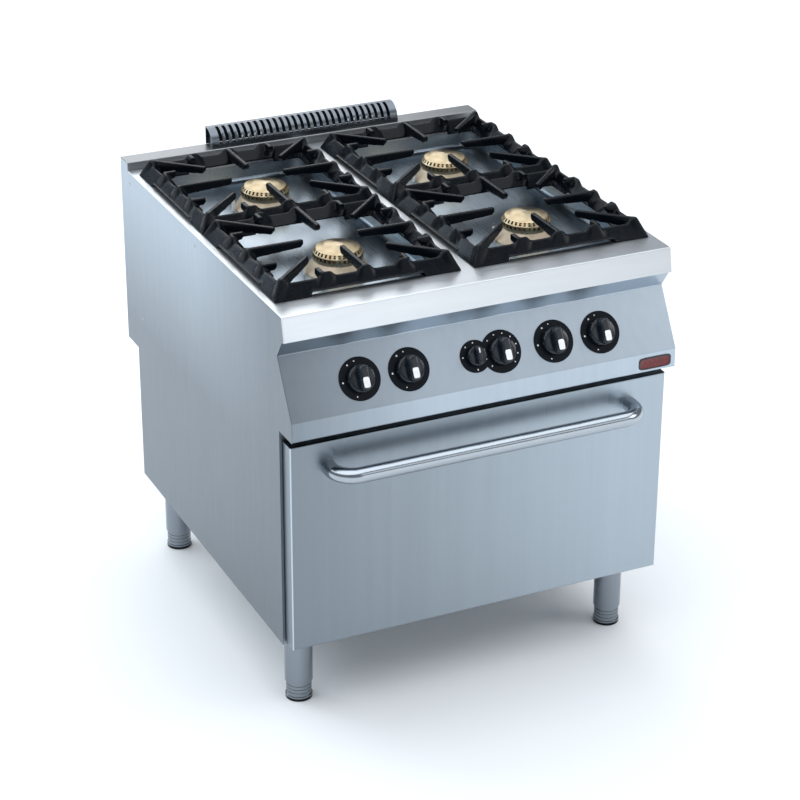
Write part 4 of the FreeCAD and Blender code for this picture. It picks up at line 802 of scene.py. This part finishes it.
def small_knob_mesh():
    """The oven selector's knob: a low skirt with a slim finger bar and a pale line."""
    build = bmesh.new()
    radius = SMALL_KNOB_RADIUS
    top = KNOB_GAP + 0.008
    skirt = [(radius, KNOB_GAP), (radius, KNOB_GAP + 0.001)]
    for inset, height in rounding(KNOB_GAP + 0.002, top, 0.0025):
        skirt.append((radius - 0.0003 - inset, height))
    skirt.append((0.004, top + 0.0008))
    lathe(build, skirt, 64)
    rings = []
    for inset, height in rounding(top - 0.001, SMALL_KNOB_TOP, 0.003, 5):
        lean = (height - top) * 0.08
        rings.append(squircle(0.0068 - inset * 0.9 - lean, 0.0172 - inset - lean, height, 48, 3.4))
    loft(build, rings)
    line = []
    for inset, height in rounding(SMALL_KNOB_TOP - 0.003, SMALL_KNOB_TOP + 0.0004, 0.0004, 2):
        line.append(squircle(0.0013 - inset, 0.0048 - inset, height, 24, 5, (0, 0.0085)))
    loft(build, line, 1)
    return mesh_from(build, "small_knob", MATERIALS["knob_plastic"], MARK_WHITE)


def knobs():
    large = knob_mesh()
    meshes = [(name, large.copy()) for name in BURNERS + ("thermostat",)]
    meshes.append(("selector", small_knob_mesh()))
    for name, mesh in meshes:
        node = f"knob_{name}"
        finish_piece(f"control_{node}", mesh, node, (node,), control_place(name), 40)


def dial_marks():
    """Small raised dots round each dial: degrees clockwise from the top, and a size."""
    burner = ((-8, 1.0), (-34, 1.3), (-94, 1.3), (-160, 1.0))
    thermostat = [(angle, 1.0) for angle in range(-135, 136, 30)]
    selector = ((0, 1.0), (-40, 1.0), (-88, 1.0), (180, 1.2))
    dials = [(name, DIAL_MARK_RADIUS, burner) for name in BURNERS]
    dials.append(("thermostat", DIAL_MARK_RADIUS, thermostat))
    dials.append(("selector", SMALL_DIAL_MARK_RADIUS, selector))
    build = bmesh.new()
    for name, radius, marks in dials:
        place = control_place(name)
        for degrees, share in marks:
            angle = math.radians(degrees)
            start = len(build.verts)
            dot = DIAL_DOT_RADIUS * share
            outline = (
                (dot, DIAL_FACE - 0.0001),
                (dot, DIAL_FACE + 0.0001),
                (dot * 0.8, DIAL_FACE + 0.0002),
            )
            lathe(build, outline, 20)
            build.verts.ensure_lookup_table()
            shift = Vector((math.sin(angle) * radius, math.cos(angle) * radius, 0))
            for vertex in build.verts[start:]:
                vertex.co = place @ (vertex.co + shift)
    finish_piece("dial_marks", mesh_from(build, "dial_marks", MARK_WHITE), "chassis")


# ---------------------------------------------------------------- badge

def badge():
    """A plain red plate with a raised dark border and no lettering."""
    low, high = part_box("badge_plate")
    middle = (low + high) / 2
    half_x = (high.x - low.x) / 2
    half_z = (high.z - low.z) / 2
    depth = high.y - low.y
    build = bmesh.new()
    plate = [(0.0, 0.0), (0.0, depth * 0.8), (0.0006, depth), (0.0026, depth), (0.0032, depth * 0.7)]
    rings = [squircle(half_x - inset, half_z - inset, height, 96, 6) for inset, height in plate]
    _, field = loft(build, rings)
    field.material_index = 1
    mesh = mesh_from(build, "badge", BADGE_EDGE, MATERIALS["badge_red"])
    facing = Matrix(((1, 0, 0), (0, 0, -1), (0, 1, 0))).to_4x4()
    place = Matrix.Translation((middle.x, high.y, middle.z)) @ facing
    finish_piece("plain_badge", mesh, "chassis", ("badge_plate",), place, 40)


# ---------------------------------------------------------------- studio

def paper_floor():
    mesh = bpy.data.meshes.new("floor")
    reach = 30
    corners = [(-reach, -reach, 0), (reach, -reach, 0), (reach, reach, 0), (-reach, reach, 0)]
    mesh.from_pydata(corners, [], [(0, 1, 2, 3)])
    floor = bpy.data.objects.new("floor", mesh)
    graph = Graph("Studio paper", (0.86, 0.87, 0.88), 0.0, 0.9)
    mesh.materials.append(graph.material)
    bpy.context.scene.collection.objects.link(floor)


def area_light(name, place, target, width, height, radiance, color=(1, 1, 1)):
    """A softbox of the given radiance that faces a point."""
    light = bpy.data.lights.new(name, "AREA")
    light.shape = "RECTANGLE"
    light.size = width
    light.size_y = height
    light.energy = radiance * width * height * math.pi
    light.color = color
    lamp = bpy.data.objects.new(name, light)
    lamp.location = place
    lamp.rotation_mode = "QUATERNION"
    lamp.rotation_quaternion = (Vector(target) - Vector(place)).to_track_quat("-Z", "Y")
    bpy.context.scene.collection.objects.link(lamp)


def sky_light(name, direction, strength, angle):
    """A wide soft light from far above."""
    light = bpy.data.lights.new(name, "SUN")
    light.energy = strength
    light.angle = math.radians(angle)
    light.color = (0.95, 0.98, 1.0)
    lamp = bpy.data.objects.new(name, light)
    lamp.rotation_mode = "QUATERNION"
    lamp.rotation_quaternion = (-Vector(direction)).to_track_quat("-Z", "Y")
    bpy.context.scene.collection.objects.link(lamp)


def studio():
    paper_floor()
    sky_light("sky", (-0.15, 0.1, 1.0), 3.2, 100)
    area_light("back", (0.9, 4.6, 3.2), (0, 0, 0.85), 2.8, 1.6, 2.4)
    area_light("front_high", (1.8, -4.2, 3.0), (0, -0.4, 0.7), 2.6, 1.4, 0.9)
    area_light("front_low", (2.2, -4.8, 0.9), (0, -0.4, 0.8), 3.6, 0.9, 1.3)
    area_light("right_floor", (2.6, -1.8, 2.0), (1.2, -1.4, 0), 1.2, 1.2, 4.0)
    area_light("left_floor", (-2.2, 2.6, 2.2), (-1.2, 1.8, 0), 1.4, 1.4, 5.0, (0.74, 0.88, 1.0))
    world = bpy.data.worlds.new("Studio")
    world.use_nodes = True
    background = world.node_tree.nodes["Background"]
    background.inputs["Color"].default_value = (0.80, 0.89, 1.0, 1)
    background.inputs["Strength"].default_value = 0.3
    bpy.context.scene.world = world
    bpy.context.scene.view_settings.view_transform = "Standard"


def camera():
    azimuth = math.radians(CAMERA_AZIMUTH)
    elevation = math.radians(CAMERA_ELEVATION)
    back = Vector((
        math.sin(azimuth) * math.cos(elevation),
        -math.cos(azimuth) * math.cos(elevation),
        math.sin(elevation),
    ))
    data = bpy.data.cameras.new("camera")
    data.lens = CAMERA_LENS
    data.clip_end = 100
    view = bpy.data.objects.new("camera", data)
    aim = (-back).to_track_quat("-Z", "Y").to_matrix().to_4x4()
    roll = Matrix.Rotation(math.radians(CAMERA_ROLL), 4, "Z")
    view.matrix_world = Matrix.Translation(Vector(CAMERA_TARGET) + back * CAMERA_DISTANCE) @ aim @ roll
    bpy.context.scene.collection.objects.link(view)
    bpy.context.scene.camera = view


camera()
studio()
dress_nodes()
pan_supports()
crowns()
sparks()
well_rims()
knobs()
dial_marks()
badge()
